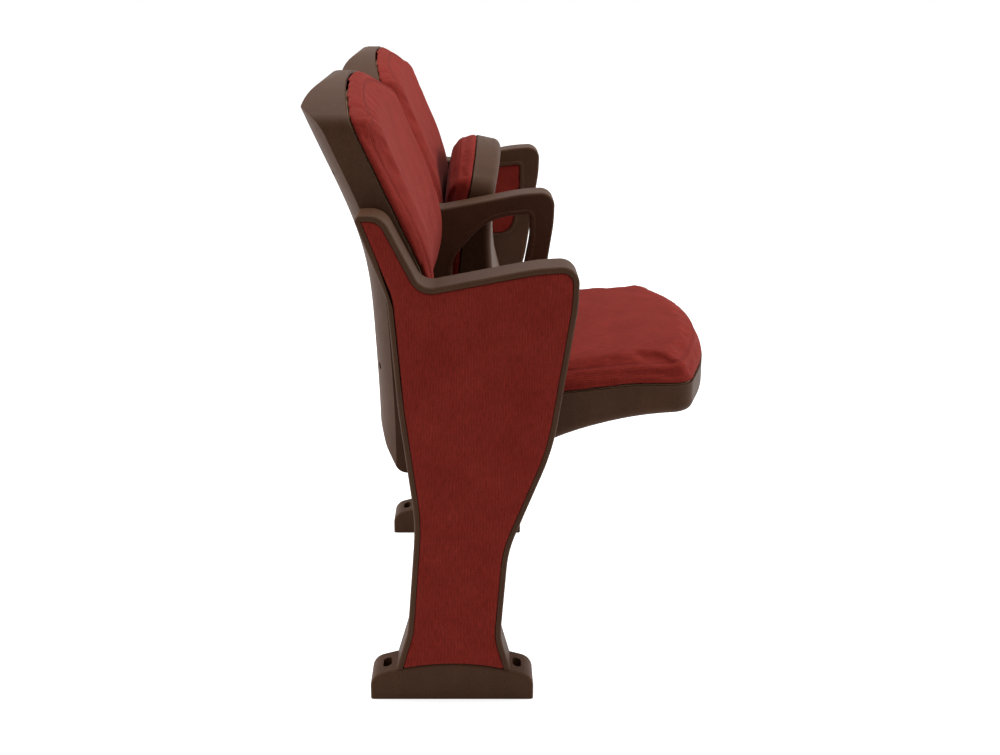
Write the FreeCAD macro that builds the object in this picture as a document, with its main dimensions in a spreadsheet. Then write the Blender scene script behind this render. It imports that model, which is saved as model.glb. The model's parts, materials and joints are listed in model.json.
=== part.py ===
import FreeCAD, Part
import math
import os

# A two-place row of tip-up auditorium seats: three standards, two backs and two seats.
# X points forward, Y runs along the row and Z is up. The origin is on the floor under the middle of
# the middle standard's foot. Seat a, on the low Y side, is down. Seat b, on the high Y side, is
# tipped up.

Vector = FreeCAD.Vector
document = FreeCAD.newDocument("tip_up_seats")

# Driving dimensions, in millimetres and degrees
DIMENSIONS = (
    ("seat_pitch", 570, "centre to centre of two standards"),
    ("standard_width", 60, "width of a standard along the row"),
    ("edge_round", 4.5, "rounding of a standard's edges"),
    ("shroud_wall", 8, "rim of a standard's moulding, seen as the trim round the side panel"),
    ("shroud_face", 5, "flat face of a standard's moulding"),
    ("foot_length", 240, "length of a foot along X"),
    ("foot_shoulder", 37, "height where a foot's end and its top would meet unrounded"),
    ("foot_shoulder_round", 22, "rounding of a foot's shoulders"),
    ("foot_arch_tip", 71, "height where the halves of a foot's top would meet unrounded"),
    ("foot_arch_round", 350, "radius of a foot's arched top"),
    ("anchor_spacing", 192, "between the two floor bolts of a foot"),
    ("anchor_hole", 11, "hole for a floor bolt"),
    ("anchor_flange", 12, "metal under a floor bolt's head"),
    ("anchor_recess_length", 24, "recess over a floor bolt, along the row"),
    ("anchor_recess_width", 13, "recess over a floor bolt, along X"),
    ("mortise_floor", 24, "height of the upright's lower end in the foot"),
    ("foot_bolt_recess", 9, "recess under a foot for the head of its bolt"),
    ("tenon_rear", -35, "rear of the upright's tenon"),
    ("tenon_front", 45, "front of the upright's tenon"),
    ("fit", 0.1, "clearance of parts that are put together and don't move"),
    ("upright_width", 20, "thickness of an upright along the row"),
    ("upright_web", 8, "web between an upright's lightening pockets"),
    ("upright_rim", 9, "rim round an upright's lightening pockets"),
    ("pocket_foot", 72, "lower end of an upright's lightening pockets"),
    ("boss_wall", 7, "material round a hole of an upright or a moulding"),
    ("spigot_diameter", 10, "spigot that holds a moulding to its upright"),
    ("spigot_forward", 5, "spigot, from the middle of the foot"),
    ("spigot_height", 150, "spigot, above the floor"),
    ("spigot_reach", 7, "how far a spigot reaches into an upright"),
    ("ankle_front", 86, "front of a standard where it meets its foot"),
    ("ankle_rear", -82, "rear of a standard where it meets its foot"),
    ("waist_front", 71, "front of a standard at its narrowest"),
    ("waist_rear", -51, "rear of a standard at its narrowest"),
    ("arm_front", 176.5, "front of an armrest"),
    ("arm_top", 656.5, "height of an armrest at its front"),
    ("arm_drop", 33, "fall of an armrest from its front to its rear"),
    ("arm_corner", 24, "radius of an armrest's front corner"),
    ("lobe_top", 726, "top of the lobe behind an armrest"),
    ("lobe_rear", -131, "rear of the lobe behind an armrest"),
    ("window_front", 133.5, "front of the window under an armrest"),
    ("window_rear", -8, "rear of the window under an armrest"),
    ("window_top", 618, "top of the window"),
    ("window_sill", 463, "bottom of the window"),
    ("bead_width", 8, "width of the bead round the window"),
    ("bead_rise", 2, "how far the bead stands proud"),
    ("panel_gap", 0.6, "joint round an upholstered side panel"),
    ("panel_depth", 12, "depth of board and padding of a side panel"),
    ("panel_board", 8, "thickness of a side panel's board"),
    ("panel_ledge", 5, "ledge that a side panel's board rests on"),
    ("panel_crown", 1.5, "how far a side panel's padding stands proud"),
    ("panel_round", 3, "rounding of a side panel's padding"),
    ("window_panel_sink", 1, "how deep the panel in a window lies"),
    ("window_panel_backing", 7, "backing of the panel in a window"),
    ("pivot_forward", 63, "seat pivot, from the middle of the foot"),
    ("pivot_height", 369, "seat pivot, above the floor"),
    ("tip_angle", 78, "how far a seat tips up"),
    ("pivot_diameter", 16, "pivot pin"),
    ("running_clearance", 0.05, "radial clearance of a pivot pin in its bush"),
    ("pivot_reach", 70, "how far a pivot pin reaches into a seat"),
    ("bush_outer", 24, "outer diameter of a bush"),
    ("bush_length", 26, "length of a bush"),
    ("hub_wall", 5, "steel round a bush"),
    ("stop_diameter", 10, "stop pin"),
    ("stop_radius", 32, "stop pin's distance from the pivot"),
    ("stop_angle", 95, "stop pin's direction, above straight ahead"),
    ("stop_reach", 16, "how far a stop pin reaches into a seat"),
    ("stop_buffer", 4, "thickness of a rubber stop"),
    ("stop_play", 0.3, "gap between a stop pin and its rubber at either end of the travel"),
    ("slot_play", 0.6, "gap beside a stop pin in its slot"),
    ("seat_gap", 15, "between a standard and a seat's side"),
    ("seat_rear", 4, "rear of a seat"),
    ("seat_side_front", 345, "front of a seat at its sides"),
    ("seat_nose", 422, "where the halves of a seat's front would meet unrounded"),
    ("seat_nose_radius", 565, "bow of a seat's front"),
    ("seat_corner", 34, "radius of a seat's front corners"),
    ("seat_waist", 3, "how far a seat's sides are drawn in"),
    ("seat_joint_rear", 430, "joint of pan and cushion at the rear"),
    ("seat_joint_knee", 461.5, "joint of pan and cushion where the slope turns level"),
    ("seat_joint_slope", 0.016, "slope of the joint in front of the knee"),
    ("seat_knee", 262, "where a seat's slope turns level"),
    ("seat_padding_rear", 25, "side height of a seat cushion at the rear"),
    ("seat_padding_knee", 28, "side height of a seat cushion from the knee forward"),
    ("seat_border", 8, "rise of a seat cushion's top beside its border"),
    ("seat_crown", 13, "rise of a seat cushion's top at its middle"),
    ("seat_front_round", 15, "rounding of a seat cushion's front"),
    ("pan_belly", 7, "how much deeper a pan is at its middle"),
    ("pan_round", 14, "rounding of a pan's underside"),
    ("seat_rear_corner", 18, "radius of a seat's rear corners"),
    ("pan_wall", 4, "wall of a seat pan"),
    ("seat_board", 12, "board under a seat cushion"),
    ("plate_length", 64, "number plate, along the row"),
    ("plate_height", 20, "number plate, upright"),
    ("plate_thickness", 2, "number plate"),
    ("plate_gap", 0.5, "joint round a number plate"),
    ("back_gap", 3, "between a standard and a back's side"),
    ("back_side_top", 845, "height where a back's side and its top would meet unrounded"),
    ("back_arch_tip", 924.5, "height where the halves of a back's top would meet unrounded"),
    ("back_arch_round", 731, "radius of a back's arched top"),
    ("back_corner", 26, "radius of a back's top corners"),
    ("back_waist", 3, "how far a back's sides are drawn in"),
    ("joint_top_x", -160, "joint of shell and cushion at the top"),
    ("joint_top_z", 891, "joint of shell and cushion at the top, height"),
    ("joint_knee_x", -37.5, "bend of the joint of shell and cushion"),
    ("joint_knee_z", 624, "bend of the joint of shell and cushion, height"),
    ("joint_foot_x", -64, "joint of shell and cushion at its lower end"),
    ("joint_foot_z", 452, "joint of shell and cushion at its lower end, height"),
    ("back_foot", 333, "lower end of a back shell"),
    ("back_barrel", 27, "how much deeper a shell is at its middle"),
    ("back_turn", 90, "width of a shell's curved flank"),
    ("back_wall", 4, "wall of a back shell"),
    ("back_board", 8, "board behind a back cushion"),
    ("back_crown", 16, "rise of a back cushion's borders"),
    ("back_border", 38, "width of a back cushion's borders"),
    ("back_hollow", 8, "how far the middle of a back cushion lies under its borders"),
    ("back_top_round", 12, "rounding of a back cushion's top"),
    ("groove_low", 481, "lowest of a shell's long grooves"),
    ("groove_pitch", 41, "between two grooves of a shell"),
    ("groove_count", 4, "grooves of a shell"),
    ("groove_width", 3, "width of a groove"),
    ("groove_depth", 1.6, "depth of a groove"),
    ("groove_length", 400, "length of a groove"),
    ("steel_plate", 5, "steel of hinges and brackets"),
    ("steel_flange", 4, "flanges of hinges and brackets"),
    ("flange_width", 36, "width of those flanges along the row"),
    ("bolt_diameter", 8, "bolts that carry a back"),
    ("bolt_low_x", -64, "lower bolt of a back"),
    ("bolt_low_z", 575, "lower bolt of a back, height"),
    ("bolt_high_x", -94, "upper bolt of a back"),
    ("bolt_high_z", 688, "upper bolt of a back, height"),
    ("spacer_diameter", 18, "spacers between a back and its standards"),
    ("screw_diameter", 5, "wood screws"),
    ("screw_head", 9, "heads of wood screws"),
    ("screw_bite", 6, "how far a wood screw reaches into its board"),
)

# Depth of a pan's sides under its joint with the cushion, at even shares of the seat's length
PAN_DEPTH = ((-0.05, 84), (0.13, 101), (0.31, 74.6), (0.49, 55.5), (0.67, 46.2), (0.85, 42.2), (1.03, 40.3))

# Depth of a back cushion's borders in front of its joint with the shell, at even steps of height
CREST_DEPTH = ((436, 8.5), (516, 14.1), (596, 20.8), (676, 25.4), (756, 29.1), (836, 32.8), (916, 35.5))

# Depth of a back shell at its middle behind that joint, at even steps of height
SHELL_DEPTH = ((300, 18.6), (375, 31.1), (450, 44.7), (525, 60.2), (600, 77.3), (675, 73.1),
               (750, 67.7), (825, 67.3), (900, 66.9))

sheet = document.addObject("Spreadsheet::Sheet", "sizes")
for row, (alias, value, meaning) in enumerate(DIMENSIONS, start=1):
    sheet.set(f"A{row}", meaning)
    sheet.set(f"B{row}", str(value))
    sheet.setAlias(f"B{row}", alias)
document.recompute()


def size(alias):
    """The number in a cell of the sheet."""
    return float(sheet.get(alias))


WAIST_RADIUS = 14000
half_standard = size("standard_width") / 2
seat_half = size("seat_pitch") / 2 - half_standard - size("seat_gap")
back_half = size("seat_pitch") / 2 - half_standard - size("back_gap")
face_distance = size("seat_pitch") / 2 - half_standard
pivot = Vector(size("pivot_forward"), 0, size("pivot_height"))
sub_parts = []


# Outlines

def rounded(vertices):
    """Closed flat wire through (u, v, radius) corners, as lines and tangent arcs.

    Two roundings that would meet on the edge between them are limited by that edge.
    """
    points = [Vector(u, v, 0) for u, v, radius in vertices]
    count = len(points)
    backs = [(points[index - 1] - points[index]).normalize() for index in range(count)]
    aheads = [(points[(index + 1) % count] - points[index]).normalize() for index in range(count)]
    halves = [back.getAngle(ahead) / 2 for back, ahead in zip(backs, aheads)]
    runs = [vertex[2] / math.tan(half) for vertex, half in zip(vertices, halves)]
    room = []
    for index in range(count):
        edge = points[index].distanceToPoint(points[(index + 1) % count])
        room.append(edge / max(edge, runs[index] + runs[(index + 1) % count]))
    corners = []
    for index, point in enumerate(points):
        if runs[index] < 1e-6:
            corners.append((point, None, point))
            continue
        run = runs[index] * min(room[index - 1], room[index])
        inward = (backs[index] + aheads[index]).normalize()
        depth = run * (1 / math.cos(halves[index]) - math.tan(halves[index]))
        corners.append((point + backs[index] * run, point + inward * depth, point + aheads[index] * run))
    edges = []
    for index, (start, middle, end) in enumerate(corners):
        if middle is not None:
            edges.append(Part.Arc(start, middle, end).toShape())
        following = corners[(index + 1) % count][0]
        if following.distanceToPoint(end) > 1e-6:
            edges.append(Part.LineSegment(end, following).toShape())
    return Part.Wire(edges)


def chain(*runs):
    """Closed flat wire of runs: each is a line of two points or an arc through three."""
    edges = []
    for run in runs:
        points = [Vector(*point) for point in run]
        curve = Part.Arc(*points) if len(points) == 3 else Part.LineSegment(*points)
        edges.append(curve.toShape())
    return Part.Wire(edges)


def inset(wire, distance):
    """The flat wire drawn in by a distance, or let out by a negative one."""
    if distance == 0:
        return wire
    return wire.makeOffset2D(-distance)


def circle(u, v, radius):
    return Part.Wire(Part.Circle(Vector(u, v, 0), Vector(0, 0, 1), radius).toShape())


# The three ways that a flat wire stands in the part: u, v become X, Z or X, Y or Y, Z
ON_SIDE = FreeCAD.Rotation(Vector(1, 0, 0), 90)
ON_PLAN = FreeCAD.Rotation()
ON_FRONT = FreeCAD.Rotation(Vector(1, 1, 1), 120)


def stand(wire, rotation, base=Vector()):
    placed = wire.copy()
    placed.Placement = FreeCAD.Placement(base, rotation)
    return placed


# Document objects

def feature(name, shape):
    item = document.addObject("Part::Feature", name)
    item.Shape = shape
    return item


def prism(name, wire, rotation, start, length):
    """Extrusion of a flat wire along the normal of its plane, from start over length."""
    along = rotation.multVec(Vector(0, 0, 1))
    item = document.addObject("Part::Extrusion", name)
    item.Base = feature(name + "_outline", stand(wire, rotation, along * start))
    item.DirMode = "Custom"
    item.Dir = along
    item.LengthFwd = length
    item.Solid = True
    return item


def side_prism(name, wire, low_y, high_y):
    """Extrusion of an X, Z outline from low_y to high_y."""
    return prism(name, wire, ON_SIDE, -high_y, high_y - low_y)


def loft(name, wires):
    item = document.addObject("Part::Loft", name)
    item.Sections = [feature(f"{name}_{index}", wire) for index, wire in enumerate(wires)]
    item.Solid = True
    item.Ruled = False
    return item


def common(name, *items):
    item = document.addObject("Part::MultiCommon", name)
    item.Shapes = list(items)
    return item


def fuse(name, *items):
    item = document.addObject("Part::MultiFuse", name)
    item.Shapes = list(items)
    return item


def cut(name, base, *tools):
    item = document.addObject("Part::Cut", name)
    item.Base = base
    item.Tool = tools[0] if len(tools) == 1 else fuse(name + "_tools", *tools)
    return item


def group(name, *items):
    item = document.addObject("Part::Compound", name)
    item.Links = list(items)
    return item


def rod(name, radius, length, base, direction):
    """Cylinder with its radius and length bound to the sheet by expressions."""
    item = document.addObject("Part::Cylinder", name)
    item.setExpression("Radius", radius)
    item.setExpression("Height", length)
    item.Placement = FreeCAD.Placement(base, FreeCAD.Rotation(Vector(0, 0, 1), direction))
    return item


def fillet(name, base, radius, chosen):
    """Fillet of the edges that chosen accepts."""
    document.recompute()
    item = document.addObject("Part::Fillet", name)
    item.Base = base
    item.Edges = [(number, radius, radius) for number, edge in enumerate(base.Shape.Edges, start=1)
                  if chosen(edge)]
    return item


def mirror(name, form):
    """The form mirrored along the row."""
    item = document.addObject("Part::Mirroring", name)
    item.Source = form
    item.Normal = Vector(0, 1, 0)
    return item


def sub_part(label, form, base=Vector(), angle=0):
    """A piece of the part: a form put in its place, turned by an angle about the row's axis."""
    item = group(label, form)
    item.Label = label
    item.Placement = FreeCAD.Placement(base, FreeCAD.Rotation(Vector(0, -1, 0), angle))
    sub_parts.append(item)


def new_body(label):
    body = document.addObject("PartDesign::Body", label)
    document.recompute()
    return body


def add_sketch(body, name, role, wires, height="0"):
    """Sketch of flat wires on one of the body's origin planes, moved along its normal."""
    sketch = body.newObject("Sketcher::SketchObject", name)
    plane = next(item for item in body.Origin.OriginFeatures if item.Role == role)
    sketch.AttachmentSupport = [(plane, "")]
    sketch.MapMode = "FlatFace"
    sketch.setExpression("AttachmentOffset.Base.z", height)
    for wire in wires:
        for edge in wire.Edges:
            sketch.addGeometry(sketch_curve(edge), False)
    return sketch


def sketch_curve(edge):
    start = edge.valueAt(edge.FirstParameter)
    end = edge.valueAt(edge.LastParameter)
    if isinstance(edge.Curve, Part.Line):
        return Part.LineSegment(start, end)
    if edge.isClosed():
        return Part.Circle(edge.Curve.Center, Vector(0, 0, 1), edge.Curve.Radius)
    middle = edge.valueAt((edge.FirstParameter + edge.LastParameter) / 2)
    return Part.Arc(start, middle, end)


def add_feature(body, kind, name, sketch, length=None, reverse=False, symmetric=False):
    """Pad or Pocket of a sketch. A Pocket without a length goes through everything."""
    item = body.newObject("PartDesign::" + kind, name)
    item.Profile = sketch
    item.Reversed = reverse
    if symmetric:
        item.SideType = "Symmetric"
    if length is None:
        item.Type = "ThroughAll"
    else:
        item.setExpression("Length", length)
    sketch.Visibility = False
    return item


def add_fillet(body, name, radius, chosen):
    """Fillet of the edges of the body's tip that chosen accepts."""
    document.recompute()
    base = body.Tip
    edges = [f"Edge{number}" for number, edge in enumerate(base.Shape.Edges, start=1) if chosen(edge)]
    item = body.newObject("PartDesign::Fillet", name)
    item.Base = (base, edges)
    item.setExpression("Radius", radius)
    return item


# Shape of the standards

def foot_outline(allowance=0):
    """A foot seen from the side, let out by an allowance."""
    end = size("foot_length") / 2
    shoulder = size("foot_shoulder")
    corner = size("foot_shoulder_round")
    wire = rounded(((-end, 0, 0),
                    (end, 0, 0),
                    (end, shoulder, corner),
                    (0, size("foot_arch_tip"), size("foot_arch_round")),
                    (-end, shoulder, corner)))
    return inset(wire, -allowance)


def standard_outline(distance=0):
    """A standard's moulding seen from the side, drawn in by a distance. It starts inside the foot."""
    floor = size("foot_shoulder") / 2
    arm_rear = size("arm_top") - size("arm_drop")
    waist = size("foot_arch_tip") + 29
    wire = rounded(((size("ankle_rear") - 8, floor, 0),
                    (size("ankle_front") + 8, floor, 0),
                    (size("waist_front"), waist, 90),
                    (size("waist_front") + 11, waist + 138, 180),
                    (size("arm_front") - 33, size("arm_top") - 264, 350),
                    (size("arm_front") - 1.5, size("arm_top") - 56, 250),
                    (size("arm_front"), size("arm_top"), size("arm_corner")),
                    (120, size("arm_top") - 2.5, 320),
                    (-38, arm_rear, 24),
                    (-90, size("lobe_top"), 30),
                    (size("lobe_rear"), size("lobe_top"), 8),
                    (-86, 610, 90),
                    (-73, 450, 300),
                    (size("waist_rear"), 280, 350),
                    (size("waist_rear") - 13, waist + 8, 80)))
    return inset(wire, distance)


def window_outline(distance=0):
    """The window under an armrest, drawn in by a distance."""
    front = size("window_front")
    rear = size("window_rear")
    top = size("window_top")
    sill = size("window_sill")
    wire = rounded(((rear, sill, 22),
                    (front - 19, sill, 34),
                    (front, top - 50, 120),
                    (front, top, 7),
                    (front - 78, top - 8, 110),
                    (rear, sill + 72, 60)))
    return inset(wire, distance)


def upright_outline(distance=0, foot="mortise_floor"):
    """The upright inside a standard, drawn in by a distance, from a height upwards."""
    rear = size("tenon_rear")
    front = size("tenon_front")
    sill = size("window_sill") - size("bead_width") - 6
    wire = rounded(((rear, size(foot) - distance, 0),
                    (front, size(foot) - distance, 0),
                    (front, 190, 80),
                    (84, 330, 80),
                    (88, sill, 12),
                    (-24, sill, 14),
                    (-43, 605, 60),
                    (size("bolt_high_x") + 6, size("bolt_high_z") + 12, 8),
                    (size("bolt_high_x") - 14, size("bolt_high_z") + 12, 8),
                    (-76, 600, 60),
                    (-66, 480, 120),
                    (rear, 300, 200)))
    return inset(wire, distance)


def bolt_places():
    """Where the bolts of a back stand in the side view."""
    return ((size("bolt_low_x"), size("bolt_low_z")), (size("bolt_high_x"), size("bolt_high_z")))


def stop_place():
    angle = math.radians(size("stop_angle"))
    return (pivot.x + size("stop_radius") * math.cos(angle),
            pivot.z + size("stop_radius") * math.sin(angle))


def crosswise_circles(extra):
    """Circles in the side view round all that passes through a standard along the row."""
    circles = [circle(pivot.x, pivot.z, size("pivot_diameter") / 2 + extra),
               circle(*stop_place(), size("stop_diameter") / 2 + extra)]
    return circles + [circle(x, z, size("bolt_diameter") / 2 + extra) for x, z in bolt_places()]


def spigot_circle(extra):
    radius = size("spigot_diameter") / 2 + extra
    return circle(size("spigot_forward"), size("spigot_height"), radius)


def foot_form():
    body = new_body("foot_form")
    sketch = add_sketch(body, "foot_side", "XZ_Plane", [foot_outline()])
    add_feature(body, "Pad", "foot_pad", sketch, "sizes.standard_width", symmetric=True)

    def upper_edge(edge):
        place = edge.CenterOfMass
        return abs(abs(place.y) - half_standard) < 0.01 and place.z > 0.01

    add_fillet(body, "foot_edges", "sizes.edge_round", upper_edge)
    reach = size("upright_width") / 2 + size("fit")
    rear = size("tenon_rear") - size("fit")
    front = size("tenon_front") + size("fit")
    mortise = rounded(((rear, -reach, 0), (front, -reach, 0), (front, reach, 0), (rear, reach, 0)))
    recesses = []
    bores = []
    for side in (-1, 1):
        x = side * size("anchor_spacing") / 2
        wide = size("anchor_recess_width") / 2
        long = size("anchor_recess_length") / 2
        corner = wide - 0.5
        recesses.append(rounded(((x - wide, -long, corner), (x + wide, -long, corner),
                                 (x + wide, long, corner), (x - wide, long, corner))))
        bores.append(circle(x, 0, size("anchor_hole") / 2))
    middle = (rear + front) / 2
    head = size("bolt_diameter") * 0.8 + 1
    bores.append(circle(middle, 0, size("bolt_diameter") / 2 + size("fit")))
    for name, wires, floor in (("mortise", [mortise], "sizes.mortise_floor"),
                               ("recess", recesses, "sizes.anchor_flange"),
                               ("bore", bores, "-5")):
        sketch = add_sketch(body, f"foot_{name}_plan", "XY_Plane", wires, "sizes.foot_arch_tip")
        add_feature(body, "Pocket", f"foot_{name}", sketch, f"sizes.foot_arch_tip - ({floor})")
    sketch = add_sketch(body, "foot_bolt_plan", "XY_Plane", [circle(middle, 0, head)])
    add_feature(body, "Pocket", "foot_bolt_recess", sketch, "sizes.foot_bolt_recess", reverse=True)
    return body


def foot_bolt(name):
    """Bolt from under a foot up into its upright."""
    middle = (size("tenon_rear") + size("tenon_front")) / 2
    seat = Vector(middle, 0, size("foot_bolt_recess"))
    up = Vector(0, 0, 1)
    head = rod(name + "_head", "0.8 * sizes.bolt_diameter", "5", seat - up * 5, up)
    shank = rod(name + "_shank", "sizes.bolt_diameter / 2", "38", seat, up)
    return fuse(name, head, shank)


def upright_form():
    body = new_body("upright_form")
    sketch = add_sketch(body, "upright_side", "XZ_Plane", [upright_outline()])
    add_feature(body, "Pad", "upright_pad", sketch, "sizes.upright_width", symmetric=True)
    outline = upright_outline(size("upright_rim"), "pocket_foot")
    for side, word in ((-1, "left"), (1, "right")):
        sketch = add_sketch(body, f"upright_{word}_side", "XZ_Plane", [outline],
                            f"{side} * sizes.upright_width / 2")
        add_feature(body, "Pocket", f"upright_{word}_pocket", sketch,
                    "(sizes.upright_width - sizes.upright_web) / 2", reverse=side < 0)
    bosses = crosswise_circles(size("boss_wall")) + [spigot_circle(size("boss_wall"))]
    for number, boss in enumerate(bosses):
        sketch = add_sketch(body, f"upright_boss_side_{number}", "XZ_Plane", [boss])
        add_feature(body, "Pad", f"upright_boss_{number}", sketch, "sizes.upright_width", symmetric=True)
    holes = crosswise_circles(size("fit")) + [spigot_circle(size("fit"))]
    sketch = add_sketch(body, "upright_hole_side", "XZ_Plane", holes)
    add_feature(body, "Pocket", "upright_holes", sketch, "2 * sizes.upright_width", symmetric=True)
    middle = (size("tenon_rear") + size("tenon_front")) / 2
    sketch = add_sketch(body, "upright_tap_plan", "XY_Plane",
                        [circle(middle, 0, size("bolt_diameter") / 2 + size("fit"))])
    add_feature(body, "Pocket", "upright_tap", sketch, "sizes.mortise_floor + 28", reverse=True)
    return body


def shroud_form(label, whole):
    """Moulding of a standard, with its flat side toward -Y and its open side toward +Y.

    A whole one is as wide as the standard, and panels close its open side and its window. A half
    one is one of two that meet in the middle, round an open window.
    """
    open_y = half_standard if whole else 0
    open_side = f"-{open_y}"
    body = new_body(label)
    sketch = add_sketch(body, label + "_side", "XZ_Plane", [standard_outline()],
                        "sizes.standard_width / 2")
    depth = half_standard + open_y
    add_feature(body, "Pad", label + "_pad", sketch, f"{depth}", reverse=True)
    sketch = add_sketch(body, label + "_foot_side", "XZ_Plane", [foot_outline(size("fit"))])
    add_feature(body, "Pocket", label + "_foot", sketch, "3 * sizes.standard_width", symmetric=True)

    def outer_edge(edge):
        place = edge.CenterOfMass
        flat_edge = abs(place.y + half_standard) < 0.01
        rim_edge = whole and abs(place.y - half_standard) < 0.01
        return (flat_edge or rim_edge) and edge.BoundBox.ZMax > size("foot_arch_tip")

    add_fillet(body, label + "_edges", "sizes.edge_round", outer_edge)
    wall = size("shroud_wall")
    inner = depth - size("shroud_face")
    if whole:
        steps = [("tray", [standard_outline(wall)], size("panel_depth")),
                 ("hollow", [standard_outline(wall + size("panel_ledge"))], inner)]
    else:
        around_window = window_outline(-size("bead_width"))
        steps = [("hollow", [standard_outline(wall), around_window], inner)]
    steps.append(("relief", [upright_outline(-2)], open_y + size("upright_width") / 2 + 0.5))
    for name, wires, deep in steps:
        sketch = add_sketch(body, f"{label}_{name}_side", "XZ_Plane", wires, open_side)
        add_feature(body, "Pocket", f"{label}_{name}", sketch, f"{deep}", reverse=True)
    inner_face = "sizes.standard_width / 2 - sizes.shroud_face"
    for number, boss in enumerate([spigot_circle(size("boss_wall"))] + [
            circle(x, z, size("bolt_diameter") / 2 + size("boss_wall")) for x, z in bolt_places()]):
        sketch = add_sketch(body, f"{label}_boss_side_{number}", "XZ_Plane", [boss], inner_face)
        add_feature(body, "Pad", f"{label}_boss_{number}", sketch,
                    inner_face + " - sizes.upright_width / 2", reverse=True)
    sketch = add_sketch(body, label + "_spigot_side", "XZ_Plane", [spigot_circle(0)], inner_face)
    add_feature(body, "Pad", label + "_spigot", sketch,
                inner_face + " - sizes.upright_width / 2 + sizes.spigot_reach", reverse=True)
    ring = [window_outline(-size("bead_width")), window_outline()]
    sketch = add_sketch(body, label + "_bead_side", "XZ_Plane", ring, "sizes.standard_width / 2 - 1")
    add_feature(body, "Pad", label + "_bead", sketch, "sizes.bead_rise + 1")
    bead_y = -half_standard - size("bead_rise")
    add_fillet(body, label + "_bead_edges", "sizes.bead_rise - 0.2",
               lambda edge: abs(edge.CenterOfMass.y - bead_y) < 0.01)
    holes = [window_outline()] + crosswise_circles(4 * size("fit"))
    sketch = add_sketch(body, label + "_hole_side", "XZ_Plane", holes)
    add_feature(body, "Pocket", label + "_holes", sketch, "3 * sizes.standard_width", symmetric=True)
    return body


def side_panel_form(label, low, high, gap, corner):
    """Board or padding of the upholstered panel in a moulding's open side, from low to high Y."""
    body = new_body(label)
    outline = standard_outline(size("shroud_wall") + gap)
    sketch = add_sketch(body, label + "_side", "XZ_Plane", [outline], f"-{low}")
    add_feature(body, "Pad", label + "_pad", sketch, f"{high - low}", reverse=True)
    sketch = add_sketch(body, label + "_foot_side", "XZ_Plane", [foot_outline(gap)])
    add_feature(body, "Pocket", label + "_foot", sketch, "3 * sizes.standard_width", symmetric=True)
    if corner:
        add_fillet(body, label + "_edges", corner, lambda edge: abs(edge.CenterOfMass.y - high) < 0.01)
    return body


def window_panel_form(label):
    """Padded panel in the window of an end standard, with its backing behind the moulding's face."""
    body = new_body(label)
    inner_face = "sizes.standard_width / 2 - sizes.shroud_face"
    sketch = add_sketch(body, label + "_backing_side", "XZ_Plane", [window_outline(-5)], inner_face)
    add_feature(body, "Pad", label + "_backing", sketch, "sizes.window_panel_backing", reverse=True)
    sketch = add_sketch(body, label + "_side", "XZ_Plane", [window_outline(size("panel_gap"))], inner_face)
    add_feature(body, "Pad", label + "_pad", sketch, "sizes.shroud_face - sizes.window_panel_sink")
    front_y = size("window_panel_sink") - half_standard
    add_fillet(body, label + "_edges", "sizes.window_panel_sink + 1.5",
               lambda edge: abs(edge.CenterOfMass.y - front_y) < 0.01)
    return body


def cross_pin(name, place, diameter, low, high):
    """Pin along the row at a place of the side view, from low to high Y."""
    return rod(name, f"sizes.{diameter} / 2", f"{high - low}", Vector(place[0], low, place[1]),
               Vector(0, 1, 0))


def make_standards():
    foot = foot_form()
    upright = upright_form()
    end = {"shroud": shroud_form("end_shroud", True)}
    board_low = half_standard - size("panel_depth")
    board_high = board_low + size("panel_board")
    gap = size("panel_gap")
    end["panel_board"] = side_panel_form("board_form", board_low, board_high, gap + 1, None)
    end["side_panel"] = side_panel_form("panel_form", board_high, half_standard + size("panel_crown"),
                                        gap, "sizes.panel_round")
    end["window_panel"] = window_panel_form("window_panel_form")
    half = shroud_form("half_shroud", False)
    mirrored = {name: mirror("mirrored_" + name, form) for name, form in end.items()}
    pitch = Vector(0, size("seat_pitch"), 0)
    for name, base, pieces in (
            ("near", -pitch, mirrored),
            ("middle", Vector(), {"shroud_left": half, "shroud_right": mirror("mirrored_half", half)}),
            ("far", pitch, end)):
        sub_part(name + "_foot", foot, base)
        sub_part(name + "_upright", upright, base)
        for piece, form in pieces.items():
            sub_part(f"{name}_{piece}", form, base)
    bolts = []
    for number, base in enumerate((-pitch, Vector(), pitch)):
        bolt = foot_bolt(f"foot_bolt_{number}")
        bolt.Placement.Base = base
        bolts.append(bolt)
    sub_part("foot_bolts", group("foot_bolt_group", *bolts))


def make_pins():
    """Pivot and stop pins: each end standard carries one of each, the middle one serves both seats."""
    pitch = size("seat_pitch")
    root = size("upright_width") / 2
    gap = half_standard + size("seat_gap")
    for pin, place in (("pivot", (pivot.x, pivot.z)), ("stop", stop_place())):
        tip = gap + size(pin + "_reach")
        for name, low, high in (("near", -pitch - root, tip - pitch),
                                ("middle", -tip, tip),
                                ("far", pitch - tip, pitch + root)):
            label = f"{name}_{pin}_pin"
            sub_part(label, cross_pin(label + "_rod", place, pin + "_diameter", low, high))


# Shape of the seats, about their pivot

def seat_joint(x):
    """Height of the joint of pan and cushion above the pivot, x from the middle of the foot."""
    slope = (size("seat_joint_knee") - size("seat_joint_rear")) / (size("seat_knee") - size("seat_rear"))
    if x <= size("seat_knee"):
        return size("seat_joint_rear") + slope * (x - size("seat_rear")) - pivot.z
    return size("seat_joint_knee") + size("seat_joint_slope") * (x - size("seat_knee")) - pivot.z


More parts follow.
